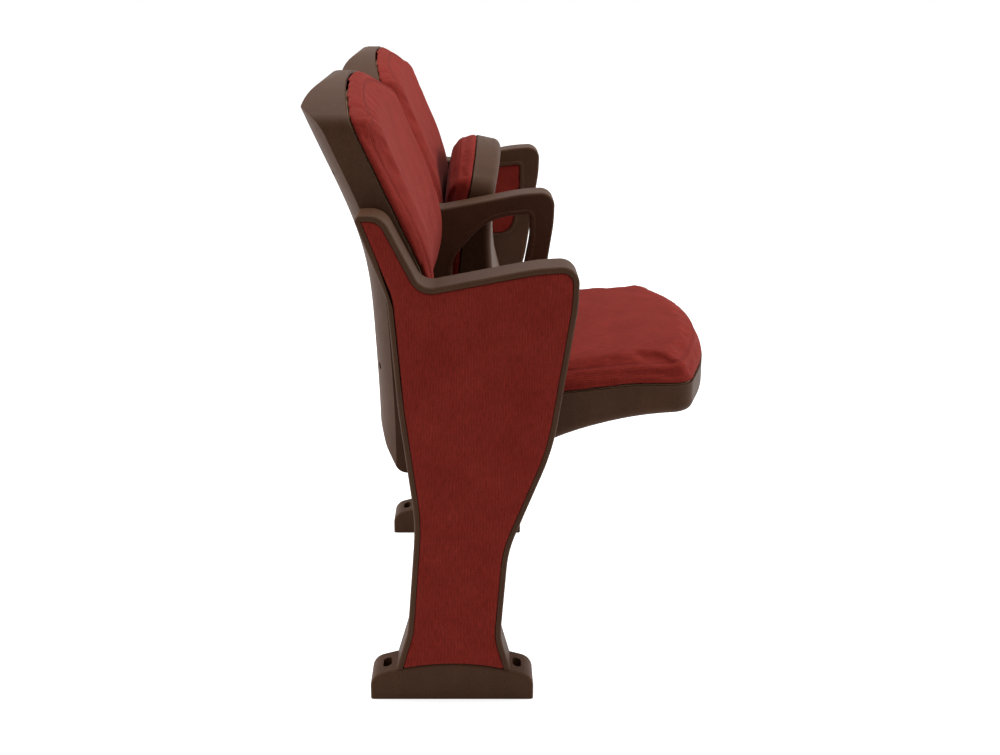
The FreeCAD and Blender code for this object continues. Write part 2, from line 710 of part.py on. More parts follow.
def seat_band(name, depth):
    """Slab of a depth under the joint of pan and cushion."""
    front = size("seat_nose") + 60
    places = ((size("seat_rear"), 0), (size("seat_knee"), 200), (front, 0))
    upper = [(x - pivot.x, seat_joint(x), radius) for x, radius in places]
    lower = [(x, z - depth, radius) for x, z, radius in reversed(upper)]
    return side_prism(name, rounded(upper + lower), -face_distance, face_distance)


def seat_plan(distance=0):
    """A seat seen from above, drawn in by a distance, with its middle on the pivot's axis."""
    rear = size("seat_rear") - pivot.x
    side_front = size("seat_side_front") - pivot.x
    rear_corner = size("seat_rear_corner")
    waist = (rear + side_front) / 2
    drawn = seat_half - size("seat_waist")
    wire = rounded(((rear, -seat_half, rear_corner),
                    (waist, -drawn, WAIST_RADIUS / 2),
                    (side_front, -seat_half, size("seat_corner")),
                    (size("seat_nose") - pivot.x, 0, size("seat_nose_radius")),
                    (side_front, seat_half, size("seat_corner")),
                    (waist, drawn, WAIST_RADIUS / 2),
                    (rear, seat_half, rear_corner)))
    return inset(wire, distance)


def above_seat():
    """A height clear above the cushion."""
    return seat_joint(size("seat_nose")) + 137


def seat_block(name, distance):
    return prism(name, seat_plan(distance), ON_PLAN, -120, above_seat() + 80)


def pan_block(name, wall):
    """The pan's outer form, or its hollow when drawn in by the wall, up through the cushion."""
    half = seat_half + 20
    top = above_seat()
    sections = []
    for share, depth in PAN_DEPTH:
        x = size("seat_rear") + share * (size("seat_nose") - size("seat_rear"))
        side = seat_joint(x) - depth + wall
        wire = chain(((-half, top), (-half, side)),
                     ((-half, side), (0, side - size("pan_belly")), (half, side)),
                     ((half, side), (half, top)),
                     ((half, top), (-half, top)))
        sections.append(stand(wire, ON_FRONT, Vector(x - pivot.x, 0, 0)))
    block = common(name + "_block", loft(name + "_loft", sections), seat_block(name + "_plan", wall))
    rim = seat_joint(size("seat_rear")) - 10

    def lower_edge(edge):
        return edge.BoundBox.ZMax < rim and edge.CenterOfMass.z < rim

    return fillet(name, block, size("pan_round") - wall, lower_edge)


def board_lean():
    """Normal of the seat board's underside behind the knee."""
    rise = seat_joint(size("seat_knee")) - seat_joint(size("seat_rear"))
    run = size("seat_knee") - size("seat_rear")
    return Vector(-rise, 0, run).normalize()


def under_board(x, y):
    """Point on the seat board's underside."""
    return Vector(x - pivot.x, y, seat_joint(x) - size("seat_board"))


def hinge_screw_places():
    y = hub_face() - 2 * size("steel_plate") - size("flange_width") / 2
    return [under_board(x, side * y) for side in (-1, 1) for x in (74, 118)]


def pan_screw_places():
    """Where the pan's pillars meet the board."""
    return [under_board(x, side * 150) for side in (-1, 1) for x in (20, 228)]


def hub_face():
    """Distance of the outer face of a hinge's hub from the seat's middle."""
    return seat_half - size("pan_wall") - size("seat_waist")


def screw(name, place, direction):
    """Pan head wood screw, with the underside of its head at the place."""
    head = rod(name + "_head", "sizes.screw_head / 2", "3", place - direction * 3, direction)
    shank = rod(name + "_shank", "sizes.screw_diameter / 2", "sizes.steel_flange + sizes.screw_bite",
                place, direction)
    return fuse(name, head, shank)


def screw_hole(name, place, direction, extra=0.0):
    """Clearance for a screw that crosses a board's face at the place."""
    return rod(name, f"sizes.screw_diameter / 2 + sizes.fit + {extra}", "2 * sizes.screw_bite + 4",
               place - direction * (size("screw_bite") + 2), direction)


def stop_sector(name, play, ends, low_y, high_y):
    """Part of the ring round the stop pin's path in the seat, between two angles."""
    radius = size("stop_radius")
    reach = size("stop_diameter") / 2 + size("slot_play") + play

    def at(distance, degrees):
        angle = math.radians(degrees)
        return (distance * math.cos(angle), distance * math.sin(angle))

    low, high = ends
    middle = (low + high) / 2
    inner = radius - reach
    outer = radius + reach
    wire = chain((at(inner, low), at(outer, low)),
                 (at(outer, low), at(outer, middle), at(outer, high)),
                 (at(outer, high), at(inner, high)),
                 (at(inner, high), at(inner, middle), at(inner, low)))
    return side_prism(name, wire, low_y, high_y)


def slot_ends(play=0):
    """Angles of the slot's ends: past the pin's edge, its play and the rubber."""
    radius = size("stop_radius")
    pin = math.asin(size("stop_diameter") / 2 / radius)
    rubber = (size("stop_buffer") + size("stop_play") + play) / radius
    past = math.degrees(pin + rubber)
    return (size("stop_angle") - size("tip_angle") - past, size("stop_angle") + past)


def seat_pan():
    """Moulded pan with pillars up to the board, holes for the pins and a recess for the plate."""
    outer = common("pan_outer_body", pan_block("pan_outer", 0), seat_band("pan_band", 200))
    hollow = pan_block("pan_hollow", size("pan_wall"))
    lean = board_lean()
    pillars = []
    holes = []
    for number, place in enumerate(pan_screw_places()):
        floor = place - lean * size("steel_flange")
        pillars.append(rod(f"pan_pillar_{number}", "sizes.screw_head / 2 + 4", "90", place - lean * 90,
                           lean))
        holes.append(rod(f"pan_well_{number}", "sizes.screw_head / 2 + 0.5", "90", floor - lean * 90,
                         lean))
        holes.append(screw_hole(f"pan_screw_hole_{number}", place, lean))
    inside = common("pan_pillars", fuse("pan_pillar_rods", *pillars), outer)
    holes.append(plate_tile("pan_plate_recess", size("plate_gap")))
    wall_zone = size("seat_waist") + 3 * size("pan_wall")
    for word, low in (("left", -seat_half - 5), ("right", seat_half - wall_zone)):
        high = low + wall_zone + 5
        holes.append(rod(f"pan_{word}_pivot_hole", "sizes.pivot_diameter / 2 + 2", f"{high - low}",
                         Vector(0, low, 0), Vector(0, 1, 0)))
        holes.append(stop_sector(f"pan_{word}_stop_slot", 1, slot_ends(1), low, high))
    walls = fuse("pan_walls", cut("pan_tray", outer, hollow), inside)
    return cut("pan_form", walls, *holes)


def plate_tile(name, gap):
    """The number plate, or its recess when let out by a gap: a tile flush with the pan's front."""
    x = size("seat_side_front")
    height = seat_joint(x) - 21
    half_length = size("plate_length") / 2 + gap
    half_height = size("plate_height") / 2 + gap
    corner = 5 + gap
    outline = rounded(((-half_length, height - half_height, corner),
                       (half_length, height - half_height, corner),
                       (half_length, height + half_height, corner),
                       (-half_length, height + half_height, corner)))
    bar = prism(name + "_bar", outline, ON_FRONT, x - pivot.x, 100)
    front = common(name + "_front", bar, seat_block(name + "_plan", 0))
    return cut(name, front, seat_block(name + "_floor", size("plate_thickness")))


def seat_board():
    slab = common("board_slab", seat_band("board_band", size("seat_board")),
                  seat_block("board_plan", size("pan_wall") + 1))
    lean = board_lean()
    places = hinge_screw_places() + pan_screw_places()
    holes = [screw_hole(f"board_hole_{number}", place, lean) for number, place in enumerate(places)]
    holes.append(rod("board_hub_clearance", "sizes.bush_outer / 2 + sizes.hub_wall + 1",
                     "sizes.seat_pitch", Vector(0, -face_distance, 0), Vector(0, 1, 0)))
    return cut("seat_board_form", slab, *holes)


def seat_cushion():
    """Crowned cushion: its top rises from the side crease to a border, and on to the middle."""
    border = 30
    half = seat_half + 6
    sections = []
    for x in (-60, 60, 180, 300, 420):
        share = min(1, max(0, (x - size("seat_rear")) / (size("seat_knee") - size("seat_rear"))))
        padding = size("seat_padding_rear") + share * (
            size("seat_padding_knee") - size("seat_padding_rear"))
        side = seat_joint(x) + padding - 3
        shoulder = side + size("seat_border") + 3
        middle = side + size("seat_crown") + 3
        wire = chain(((-half, -80), (-half, side)),
                     ((-half, side), (-half + 11, shoulder - 4), (-half + border, shoulder)),
                     ((-half + border, shoulder), (0, middle), (half - border, shoulder)),
                     ((half - border, shoulder), (half - 11, shoulder - 4), (half, side)),
                     ((half, side), (half, -80)),
                     ((half, -80), (-half, -80)))
        sections.append(stand(wire, ON_FRONT, Vector(x - pivot.x, 0, 0)))
    top = loft("seat_cushion_top", sections)
    rear = size("seat_rear") - pivot.x
    front = size("seat_nose") + 60
    heel = seat_joint(size("seat_rear"))
    side_view = side_prism("seat_cushion_side", rounded((
        (rear, heel, 3),
        (size("seat_knee") - pivot.x, seat_joint(size("seat_knee")), 200),
        (front - pivot.x, seat_joint(front), 0),
        (front - pivot.x, above_seat(), 0),
        (rear + 45, above_seat(), 0),
        (rear + 45, heel + 61, 8),
        (rear, heel + 19, 14))), -face_distance, face_distance)
    block = common("seat_cushion_block", top, side_view, seat_block("seat_cushion_plan", 0))
    ahead = size("seat_side_front") - pivot.x - size("seat_corner") + 2
    low = seat_joint(size("seat_knee")) + size("seat_padding_knee") / 2

    def front_edge(edge):
        return edge.CenterOfMass.x > ahead and edge.BoundBox.ZMin > low and edge.Length > 12

    return fillet("seat_cushion_form", block, size("seat_front_round"), front_edge)


def seat_hinge():
    """Left steel hinge: a flange under the board, a plate with the stop pin's slot, and the hub."""
    face = -hub_face()
    plate = (face + size("steel_plate"), face + 2 * size("steel_plate"))
    rear = size("seat_rear") + 8
    front = 138
    rear_z = seat_joint(rear) - size("seat_board")
    front_z = seat_joint(front) - size("seat_board")
    rim = size("stop_radius") + size("stop_diameter") / 2 + size("slot_play") + 8
    hub = size("bush_outer") / 2 + size("hub_wall")
    thick = size("steel_flange")
    web = side_prism("hinge_plate", rounded((
        (rear - pivot.x, rear_z, 0),
        (rear - pivot.x, -8, 12),
        (-hub - 3, -hub - 4, 10),
        (hub - 8, -hub - 4, 10),
        (hub + 13, -10, 8),
        (rim, -3, 8),
        (front - pivot.x, front_z - 20, 6),
        (front - pivot.x, front_z, 0))), *plate)
    flange = side_prism("hinge_flange", rounded((
        (rear - pivot.x, rear_z, 0),
        (rear - pivot.x, rear_z - thick, 0),
        (front - pivot.x, front_z - thick, 0),
        (front - pivot.x, front_z, 0))), plate[0], plate[0] + size("flange_width"))
    along = Vector(0, 1, 0)
    tube = rod("hinge_hub", "sizes.bush_outer / 2 + sizes.hub_wall", "sizes.bush_length",
              Vector(0, face, 0), along)
    bore = rod("hinge_bore", "sizes.bush_outer / 2 + sizes.fit / 2", "2 * sizes.bush_length",
               Vector(0, face - size("bush_length") / 2, 0), along)
    slot = stop_sector("hinge_slot", 0, slot_ends(), face, 0)
    lean = board_lean()
    holes = [screw_hole(f"hinge_hole_{number}", place, lean, 0.2)
             for number, place in enumerate(hinge_screw_places())]
    return cut("hinge_form", fuse("hinge_steel", web, flange, tube), bore, slot, *holes)


def bush():
    """Left bush: a sleeve that runs on the pivot pin."""
    along = Vector(0, 1, 0)
    outside = rod("bush_outside", "sizes.bush_outer / 2", "sizes.bush_length",
                  Vector(0, -hub_face(), 0), along)
    inside = rod("bush_inside", "sizes.pivot_diameter / 2 + sizes.running_clearance",
                 "sizes.bush_length + 2", Vector(0, -hub_face() - 1, 0), along)
    return cut("bush_form", outside, inside)


def return_spring():
    """Left torsion spring, wound close round the pivot pin, with a leg up to the seat board."""
    along = Vector(0, 1, 0)
    low = -hub_face() + size("bush_length") + 3
    outer = size("pivot_diameter") / 2 + 5.5
    outside = rod("spring_outside", "sizes.pivot_diameter / 2 + 5.5", "32", Vector(0, low, 0), along)
    inside = rod("spring_inside", "sizes.pivot_diameter / 2 + 1.5", "34", Vector(0, low - 1, 0), along)
    lean = board_lean()
    root = Vector(outer - 2, low + 28, 0)
    length = (under_board(size("seat_rear"), 0) - root).dot(lean)
    leg = rod("spring_leg", "1.8", f"{length}", root, lean)
    return fuse("spring_form", cut("spring_sleeve", outside, inside), leg)


def rubber_stops():
    """Left pair of rubber blocks at the ends of the hinge's slot."""
    face = -hub_face()
    plate = (face + size("steel_plate"), face + 2 * size("steel_plate"))
    low, high = slot_ends()
    thickness = math.degrees(size("stop_buffer") / size("stop_radius"))
    play = -size("fit") / 2
    return group("stop_pair", stop_sector("up_stop", play, (low, low + thickness), *plate),
                 stop_sector("down_stop", play, (high - thickness, high), *plate))


def seat_screws():
    """Screws of both hinges and of the pan, all into the board."""
    lean = board_lean()
    screws = []
    for number, place in enumerate(hinge_screw_places()):
        under = place - lean * (size("steel_flange") * lean.z)
        screws.append(screw(f"hinge_screw_{number}", under, lean))
    for number, place in enumerate(pan_screw_places()):
        screws.append(screw(f"pan_screw_{number}", place - lean * size("steel_flange"), lean))
    return group("seat_screw_group", *screws)


def both_sides(name, form):
    return group(name + "_both", form, mirror(name + "_mirrored", form))


def seat_pieces():
    hinge = seat_hinge()
    return {"pan": seat_pan(),
            "number_plate": plate_tile("plate_form", 0),
            "board": seat_board(),
            "cushion": seat_cushion(),
            "hinge_left": hinge,
            "hinge_right": mirror("hinge_mirrored", hinge),
            "bushes": both_sides("bush", bush()),
            "springs": both_sides("spring", return_spring()),
            "rubber_stops": both_sides("stops", rubber_stops()),
            "screws": seat_screws()}


# Shape of the backs

def joint_x(z):
    """Front of a shell, and rear of its cushion, at a height."""
    if z >= size("joint_knee_z"):
        share = (z - size("joint_knee_z")) / (size("joint_top_z") - size("joint_knee_z"))
        return size("joint_knee_x") + share * (size("joint_top_x") - size("joint_knee_x"))
    share = (z - size("joint_foot_z")) / (size("joint_knee_z") - size("joint_foot_z"))
    return size("joint_foot_x") + share * (size("joint_knee_x") - size("joint_foot_x"))


def joint_line(low, high, depth=0, radius=60):
    """Corners of a line behind the joint by a depth along X, from one height up to another."""
    line = [(joint_x(low) - depth, low, 0)]
    if low + radius / 6 < size("joint_knee_z") < high - radius / 6:
        line.append((size("joint_knee_x") - depth, size("joint_knee_z"), radius))
    return line + [(joint_x(high) - depth, high, 0)]


def joint_normal(z):
    """Forward normal of the joint of shell and cushion at a height."""
    step = 1 if z >= size("joint_knee_z") else -1
    along = Vector(joint_x(z + step) - joint_x(z), 0, step) * step
    return Vector(along.z, 0, -along.x).normalize()


def back_front_view(distance, waist):
    """A back seen from the front, drawn in by a distance: an arched top and sides with a waist."""
    half = back_half
    bottom = size("back_foot") - 30
    side_top = size("back_side_top")
    corner = size("back_corner")
    right = [(half, bottom, 0), (half, side_top, corner)]
    left = [(-half, side_top, corner), (-half, bottom, 0)]
    if waist:
        middle = (bottom + side_top) / 2
        right.insert(1, (half - waist, middle, WAIST_RADIUS))
        left.insert(1, (waist - half, middle, WAIST_RADIUS))
    arch = [(0, size("back_arch_tip"), size("back_arch_round"))]
    return inset(rounded(right + arch + left), distance)


def back_block(name, distance, waist=0):
    return prism(name, back_front_view(distance, waist), ON_FRONT, -400, 600)


def shell_rear(name, wall):
    """The shell's rounded rear: a level middle between two curved flanks."""
    half = back_half + 14 - wall
    flank = back_half + 14 - size("back_turn")
    barrel = size("back_barrel") + 12
    sections = []
    for z, depth in SHELL_DEPTH:
        rear = joint_x(z) - depth + wall
        wire = chain(((0, -half), (rear + barrel, -half)),
                     ((rear + barrel, -half), (rear + barrel * 0.29, -(flank + 0.56 * (half - flank))),
                      (rear, -flank)),
                     ((rear, -flank), (rear - 1, 0), (rear, flank)),
                     ((rear, flank), (rear + barrel * 0.29, flank + 0.56 * (half - flank)),
                      (rear + barrel, half)),
                     ((rear + barrel, half), (0, half)),
                     ((0, half), (0, -half)))
        sections.append(stand(wire, ON_PLAN, Vector(0, 0, z)))
    return loft(name, sections)


def shell_side_view(wall, opened):
    """A shell from the side, without its rear. The hollow is open to the front above its lip."""
    foot = size("back_foot")
    front = 12 if opened else 0
    lip = size("joint_foot_z") - 6
    top = size("back_arch_tip") - 31.5 - wall
    rear = size("joint_foot_x") + wall
    return rounded(((size("joint_foot_x") + 12 - wall, foot + wall, 6),
                    (size("joint_foot_x") + 10 - wall, lip - wall, 3),
                    (joint_x(lip + 6) + front, lip + 6 + wall, 1),
                    (size("joint_knee_x") + front, size("joint_knee_z"), 60),
                    (joint_x(top) + front, top, 4),
                    (joint_x(top) - 54 + wall, top - 19, 28),
                    (joint_x(top - 103) - 73 + wall, top - 103, 0),
                    (joint_x(size("joint_knee_z") - 24) - 98 + wall, size("joint_knee_z") - 24, 0),
                    (rear - 66, lip + 24, 0),
                    (rear - 33, foot + 33 + wall / 2, 25),
                    (rear - 10, foot + wall, 18)))


def shell_form(name, wall, opened):
    side_view = side_prism(name + "_side", shell_side_view(wall, opened), -face_distance, face_distance)
    return common(name, shell_rear(name + "_rear", wall), side_view, back_block(name + "_front", wall))


def shell_screw_places():
    """Where the shell's pillars meet the board: points on the board's rear and their normals."""
    places = []
    for side in (-1, 1):
        for z in (size("joint_foot_z") + 26, size("back_arch_tip") - 134.5):
            normal = joint_normal(z)
            places.append((Vector(joint_x(z), side * 214, z) - normal * board_depth(z), normal))
    return places


def board_depth(z):
    """Thickness of the back board square to its face."""
    return size("back_board") * joint_normal(z).x


def back_shell():
    """Moulded shell with pillars up to the board, bolt holes in its sides and grooves in its rear."""
    outer = shell_form("shell_outer", 0, False)
    hollow = shell_form("shell_hollow", size("back_wall"), True)
    pillars = []
    holes = bolt_holes("shell", -1) + bolt_holes("shell", 1)
    for number, (place, normal) in enumerate(shell_screw_places()):
        floor = place - normal * size("steel_flange")
        pillars.append(rod(f"shell_pillar_{number}", "sizes.screw_head / 2 + 4", "90",
                           place - normal * 90, normal))
        holes.append(rod(f"shell_well_{number}", "sizes.screw_head / 2 + 0.5", "90",
                         floor - normal * 90, normal))
        holes.append(screw_hole(f"shell_screw_hole_{number}", place, normal))
    inside = common("shell_pillars", fuse("shell_pillar_rods", *pillars), outer)
    walls = fuse("shell_walls", cut("shell_tray", outer, hollow), inside)
    return cut("shell_form", walls, shell_grooves(), *holes)


def shell_grooves():
    """Long grooves in the shell's rear, and two fine lines under them."""
    lines = [(size("groove_low") + number * size("groove_pitch"), size("groove_width"))
             for number in range(int(size("groove_count")))]
    lines += [(426, 1), (413, 1)]
    slabs = []
    for number, (z, width) in enumerate(lines):
        slab = document.addObject("Part::Box", f"groove_{number}")
        slab.Length = 200
        slab.setExpression("Width", "sizes.groove_length")
        slab.Height = width
        slab.Placement.Base = Vector(-290, -size("groove_length") / 2, z - width / 2)
        slabs.append(slab)
    skin = shell_form("groove_floor", size("groove_depth"), False)
    return cut("grooves", fuse("groove_slabs", *slabs), skin)


def back_board():
    wall = size("back_wall") + 1
    foot = size("joint_foot_z") + 8
    top = size("back_arch_tip") - 57.5
    rear_line = joint_line(foot, top, size("back_board"))
    slab = side_prism("back_board_slab", rounded(joint_line(foot, top) + rear_line[::-1]),
                      -face_distance, face_distance)
    panel = common("back_board_panel", slab, back_block("back_board_plan", wall))
    holes = [screw_hole(f"back_board_hole_{number}", place, normal)
             for number, (place, normal) in enumerate(shell_screw_places())]
    return cut("back_board_form", panel, *holes)


def back_cushion():
    """Cushion with raised borders at its sides, a shallow hollow between them and a round top."""
    half = back_half + 2
    border = size("back_border")
    sections = []
    for z, depth in CREST_DEPTH:
        x = joint_x(z) + depth
        edge = x - size("back_crown") - 1
        turn = x - size("back_crown") * 0.28
        rear = x - 90
        wire = chain(((rear, -half), (edge, -half)),
                     ((edge, -half), (turn, -half + border * 0.36), (x, border - half)),
                     ((x, border - half), (x - size("back_hollow"), 0), (x, half - border)),
                     ((x, half - border), (turn, half - border * 0.36), (edge, half)),
                     ((edge, half), (rear, half)),
                     ((rear, half), (rear, -half)))
        sections.append(stand(wire, ON_PLAN, Vector(0, 0, z)))
    front = loft("back_cushion_front", sections)
    foot = size("joint_foot_z") + 4
    top = size("back_arch_tip") + 30
    side_view = side_prism("back_cushion_side", rounded((
        (joint_x(foot), foot, 2),
        (joint_x(foot) + 28, foot, 9),
        (60, 640, 0),
        (-60, top, 0),
        (joint_x(top), top, 0),
        (size("joint_knee_x"), size("joint_knee_z"), 60))), -face_distance, face_distance)
    outline = back_block("back_cushion_plan", 0, size("back_waist"))
    block = common("back_cushion_block", front, side_view, outline)

    def top_edge(edge):
        box = edge.BoundBox
        return box.ZMin > size("back_side_top") and box.YLength > back_half and box.XMin > -140

    return fillet("back_cushion_form", block, size("back_top_round"), top_edge)


def back_bracket():
    """Left steel bracket in the shell: a plate for the two bolts and a flange behind the board."""
    low = size("back_wall") - back_half
    bottom = size("bolt_low_z") - 24
    top = size("bolt_high_z") + 16

    board = size("back_board")
    plate = side_prism("bracket_plate", rounded(joint_line(bottom, top, board) + [
        (size("bolt_high_x") - 13, top, 8),
        (size("bolt_low_x") - 14, size("bolt_low_z") + 40, 60),
        (size("bolt_low_x") - 14, bottom, 8)]), low, low + size("steel_plate"))
    behind = joint_line(bottom, top, board + size("steel_flange"))
    flange = side_prism("bracket_flange", rounded(joint_line(bottom, top, board) + behind[::-1]), low,
                        low + size("flange_width"))
    return cut("bracket_form", fuse("bracket_steel", plate, flange), *bolt_holes("bracket", -1))


def bolt_holes(name, side):
    """Holes for the two bolts through one side of a back."""
    low = side * back_half - 30
    return [rod(f"{name}_bolt_hole_{side + 2}_{number}", "sizes.bolt_diameter / 2 + sizes.fit", "60",
                Vector(x, low, z), Vector(0, 1, 0)) for number, (x, z) in enumerate(bolt_places())]


def back_bolts():
    """Left bolts, from the bracket through the shell into the upright."""
    outward = Vector(0, -1, 0)
    head_face = back_half - size("back_wall") - size("steel_plate")
    length = size("seat_pitch") / 2 - 4 - head_face
    bolts = []
    for number, (x, z) in enumerate(bolt_places()):
        seat = Vector(x, -head_face, z)
        head = rod(f"back_bolt_head_{number}", "0.8 * sizes.bolt_diameter", "5", seat - outward * 5,
                   outward)
        shank = rod(f"back_bolt_shank_{number}", "sizes.bolt_diameter / 2", f"{length}", seat, outward)
        bolts.append(fuse(f"back_bolt_{number}", head, shank))
    return group("back_bolt_pair", *bolts)


def back_spacers():
    """Left spacers between the shell and the standard, one on each bolt."""
    spacers = []
    for number, (x, z) in enumerate(bolt_places()):
        disc = rod(f"spacer_disc_{number}", "sizes.spacer_diameter / 2", "sizes.back_gap",
                   Vector(x, -face_distance, z), Vector(0, 1, 0))
        spacers.append(disc)
    return cut("spacer_pair", group("spacer_discs", *spacers), *bolt_holes("spacer", -1))


def back_screws():
    screws = [screw(f"shell_screw_{number}", place - normal * size("steel_flange"), normal)
              for number, (place, normal) in enumerate(shell_screw_places())]
    return group("back_screw_group", *screws)


def back_pieces():
    bracket = back_bracket()
    return {"shell": back_shell(),
            "board": back_board(),
            "cushion": back_cushion(),
            "bracket_left": bracket,
            "bracket_right": mirror("bracket_mirrored", bracket),
            "bolts": both_sides("back_bolts", back_bolts()),
            "spacers": both_sides("spacers", back_spacers()),
            "screws": back_screws()}


make_standards()
make_pins()
seats = seat_pieces()
backs = back_pieces()
for place, row_side, tipped in (("a", -1, 0), ("b", 1, size("tip_angle"))):
    middle = Vector(0, row_side * size("seat_pitch") / 2, 0)
    for piece, form in seats.items():
        sub_part(f"seat_{place}_{piece}", form, pivot + middle, tipped)
    for piece, form in backs.items():
        sub_part(f"back_{place}_{piece}", form, middle)
document.recompute()

# Every object has to be sound before anything is written
for item in document.Objects:
    if {"Invalid", "Error"} & set(item.State):
        raise RuntimeError(f"{item.Name} failed: {item.State}")
for item in sub_parts:
    if item.Shape.isNull() or not item.Shape.isValid():
        raise RuntimeError(f"{item.Label} has no valid shape")

os.makedirs("parts", exist_ok=True)
for item in sub_parts:
    solids = item.Shape.Solids
    volume = sum(solid.Volume for solid in solids)
    print(f"{item.Label}: {len(solids)} solids, {volume / 1000:.1f} cm3")
    item.Shape.exportStep(f"parts/{item.Label}.step")
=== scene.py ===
import json
import math

import bmesh
import bpy
import numpy as np
from mathutils import Matrix, Vector, geometry, kdtree, noise
from mathutils.bvhtree import BVHTree


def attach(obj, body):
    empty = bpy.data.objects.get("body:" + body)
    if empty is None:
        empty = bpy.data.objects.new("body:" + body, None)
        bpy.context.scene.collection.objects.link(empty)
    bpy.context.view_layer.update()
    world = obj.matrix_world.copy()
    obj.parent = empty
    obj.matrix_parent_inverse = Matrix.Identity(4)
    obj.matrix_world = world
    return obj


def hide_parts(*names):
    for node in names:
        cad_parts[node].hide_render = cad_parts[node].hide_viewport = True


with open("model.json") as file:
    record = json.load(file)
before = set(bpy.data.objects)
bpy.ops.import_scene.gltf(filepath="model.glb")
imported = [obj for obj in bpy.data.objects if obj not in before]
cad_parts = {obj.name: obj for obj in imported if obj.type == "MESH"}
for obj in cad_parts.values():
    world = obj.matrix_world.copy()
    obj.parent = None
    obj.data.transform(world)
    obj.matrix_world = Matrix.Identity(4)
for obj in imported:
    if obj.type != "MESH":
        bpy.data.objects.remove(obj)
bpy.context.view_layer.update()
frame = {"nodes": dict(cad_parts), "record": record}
MM = 0.001
PITCH = 0.570
HALF_STANDARD = 0.030
PIVOT = Vector((0.063, 0.0, 0.369))
TIP = math.radians(78)

# Joint of a seat's pan and cushion, from the middle of the foot and above the floor
SEAT_REAR = 0.004
SEAT_KNEE = 0.262
SEAT_JOINT_REAR = 0.430
SEAT_JOINT_KNEE = 0.4615
SEAT_JOINT_SLOPE = 0.016

# Joint of a back's shell and cushion
BACK_KNEE_X = -0.0375
BACK_KNEE_Z = 0.624
BACK_FOOT_X = -0.064
BACK_FOOT_Z = 0.452

VOXEL = 0.005
OUTLINE_STEP = 2.0
SIM_FRAMES = 20
STITCH_SIDES = 6
LEVEL_FACE = 0.62
UPRIGHT_FACE = 0.55
IMAGE_WIDTH = 1000
FOCAL_PIXELS = 1282.69
WORLD_LEVEL = 0.42
FLOOR_REACH = 30
FLOOR_DROP = 0.0004

rows = {"a": -PITCH / 2, "b": PITCH / 2}


# ---------------------------------------------------------------- outlines

def rounded(corners, step=3.0):
    """Points of a closed outline through (u, v, radius) corners with tangent arcs, in millimetres."""
    points = [Vector((u, v)) for u, v, radius in corners]
    line = []
    for index, (u, v, radius) in enumerate(corners):
        here = points[index]
        back = (points[index - 1] - here).normalized()
        ahead = (points[(index + 1) % len(points)] - here).normalized()
        if radius <= 0:
            line.append(here)
            continue
        half_angle = back.angle(ahead) / 2
        run = radius / math.tan(half_angle)
        centre = here + (back + ahead).normalized() * (radius / math.sin(half_angle))
        start = here + back * run - centre
        end = here + ahead * run - centre
        sweep = start.angle_signed(end)
        count = max(2, math.ceil(abs(sweep) * radius / step))
        for part in range(count + 1):
            angle = -sweep * part / count
            line.append(centre + Vector((start.x * math.cos(angle) - start.y * math.sin(angle),
                                         start.x * math.sin(angle) + start.y * math.cos(angle))))
    return np.array([(p.x, p.y) for p in line])


def resample(line, step):
    """The closed line with even steps."""
    closed = np.vstack([line, line[:1]])
    lengths = np.hypot(*np.diff(closed, axis=0).T)
    keep = np.append(lengths > 1e-6, True)
    closed = closed[keep]
    along = np.append(0, np.cumsum(np.hypot(*np.diff(closed, axis=0).T)))
    count = int(along[-1] / step)
    places = np.arange(count) * along[-1] / count
    return np.column_stack([np.interp(places, along, closed[:, k]) for k in (0, 1)])


def inward(line):
    """Unit normals of a closed counter-clockwise line, pointing in."""
    tangent = np.roll(line, -1, axis=0) - np.roll(line, 1, axis=0)
    tangent /= np.linalg.norm(tangent, axis=1)[:, None]
    return np.column_stack([-tangent[:, 1], tangent[:, 0]])


def tree_of(points):
    """Search tree of 2-D or 3-D points."""
    tree = kdtree.KDTree(len(points))
    for index, point in enumerate(points):
        tree.insert((*point, 0) if len(point) == 2 else point, index)
    tree.balance()
    return tree


def area_of(line):
    """Signed area of a closed line, positive where it runs counter-clockwise."""
    x, y = line.T
    return 0.5 * np.sum(x * np.roll(y, -1) - np.roll(x, -1) * y)


def inset(line, distance, step):
    """The closed line drawn in, without the points that fold over."""
    if area_of(line) < 0:
        line = line[::-1]
    dense = resample(line, 1.0)
    moved = dense + inward(dense) * distance
    tree = tree_of(dense)
    kept = [p for p in moved if tree.find((*p, 0))[2] > abs(distance) - 0.25]
    return resample(np.array(kept), step)


def standard_line():
    return rounded(((-90, 18.5, 0), (94, 18.5, 0), (71, 100, 90), (82, 238, 180), (143.5, 392.5, 350),
                    (175, 600.5, 250), (176.5, 656.5, 24), (120, 654, 320), (-38, 623.5, 24),
                    (-90, 726, 30), (-131, 726, 8), (-86, 610, 90), (-73, 450, 300), (-51, 280, 350),
                    (-64, 108, 80)))


def foot_top(x):
    """Height of a foot's arched top, in millimetres."""
    slope = (71 - 37) / 120
    half_angle = math.pi / 2 - math.atan(slope)
    drop = 350 / math.sin(half_angle) - 350
    crest = 71 - drop
    reach = 350 * math.sin(math.atan(slope))
    if abs(x) < reach:
        return crest - 350 + math.sqrt(350 ** 2 - x ** 2)
    return 71 - slope * abs(x)


def window_line():
    return rounded(((-8, 463, 22), (114.5, 463, 34), (133.5, 568, 120), (133.5, 618, 7),
                    (55.5, 610, 110), (-8, 535, 60)))


def seat_plan_line():
    """A seat from above, about its pivot."""
    return rounded(((-59, -240, 18), (111.5, -237, 7000), (282, -240, 34), (359, 0, 565),
                    (282, 240, 34), (111.5, 237, 7000), (-59, 240, 18)))


# ---------------------------------------------------------------- meshes

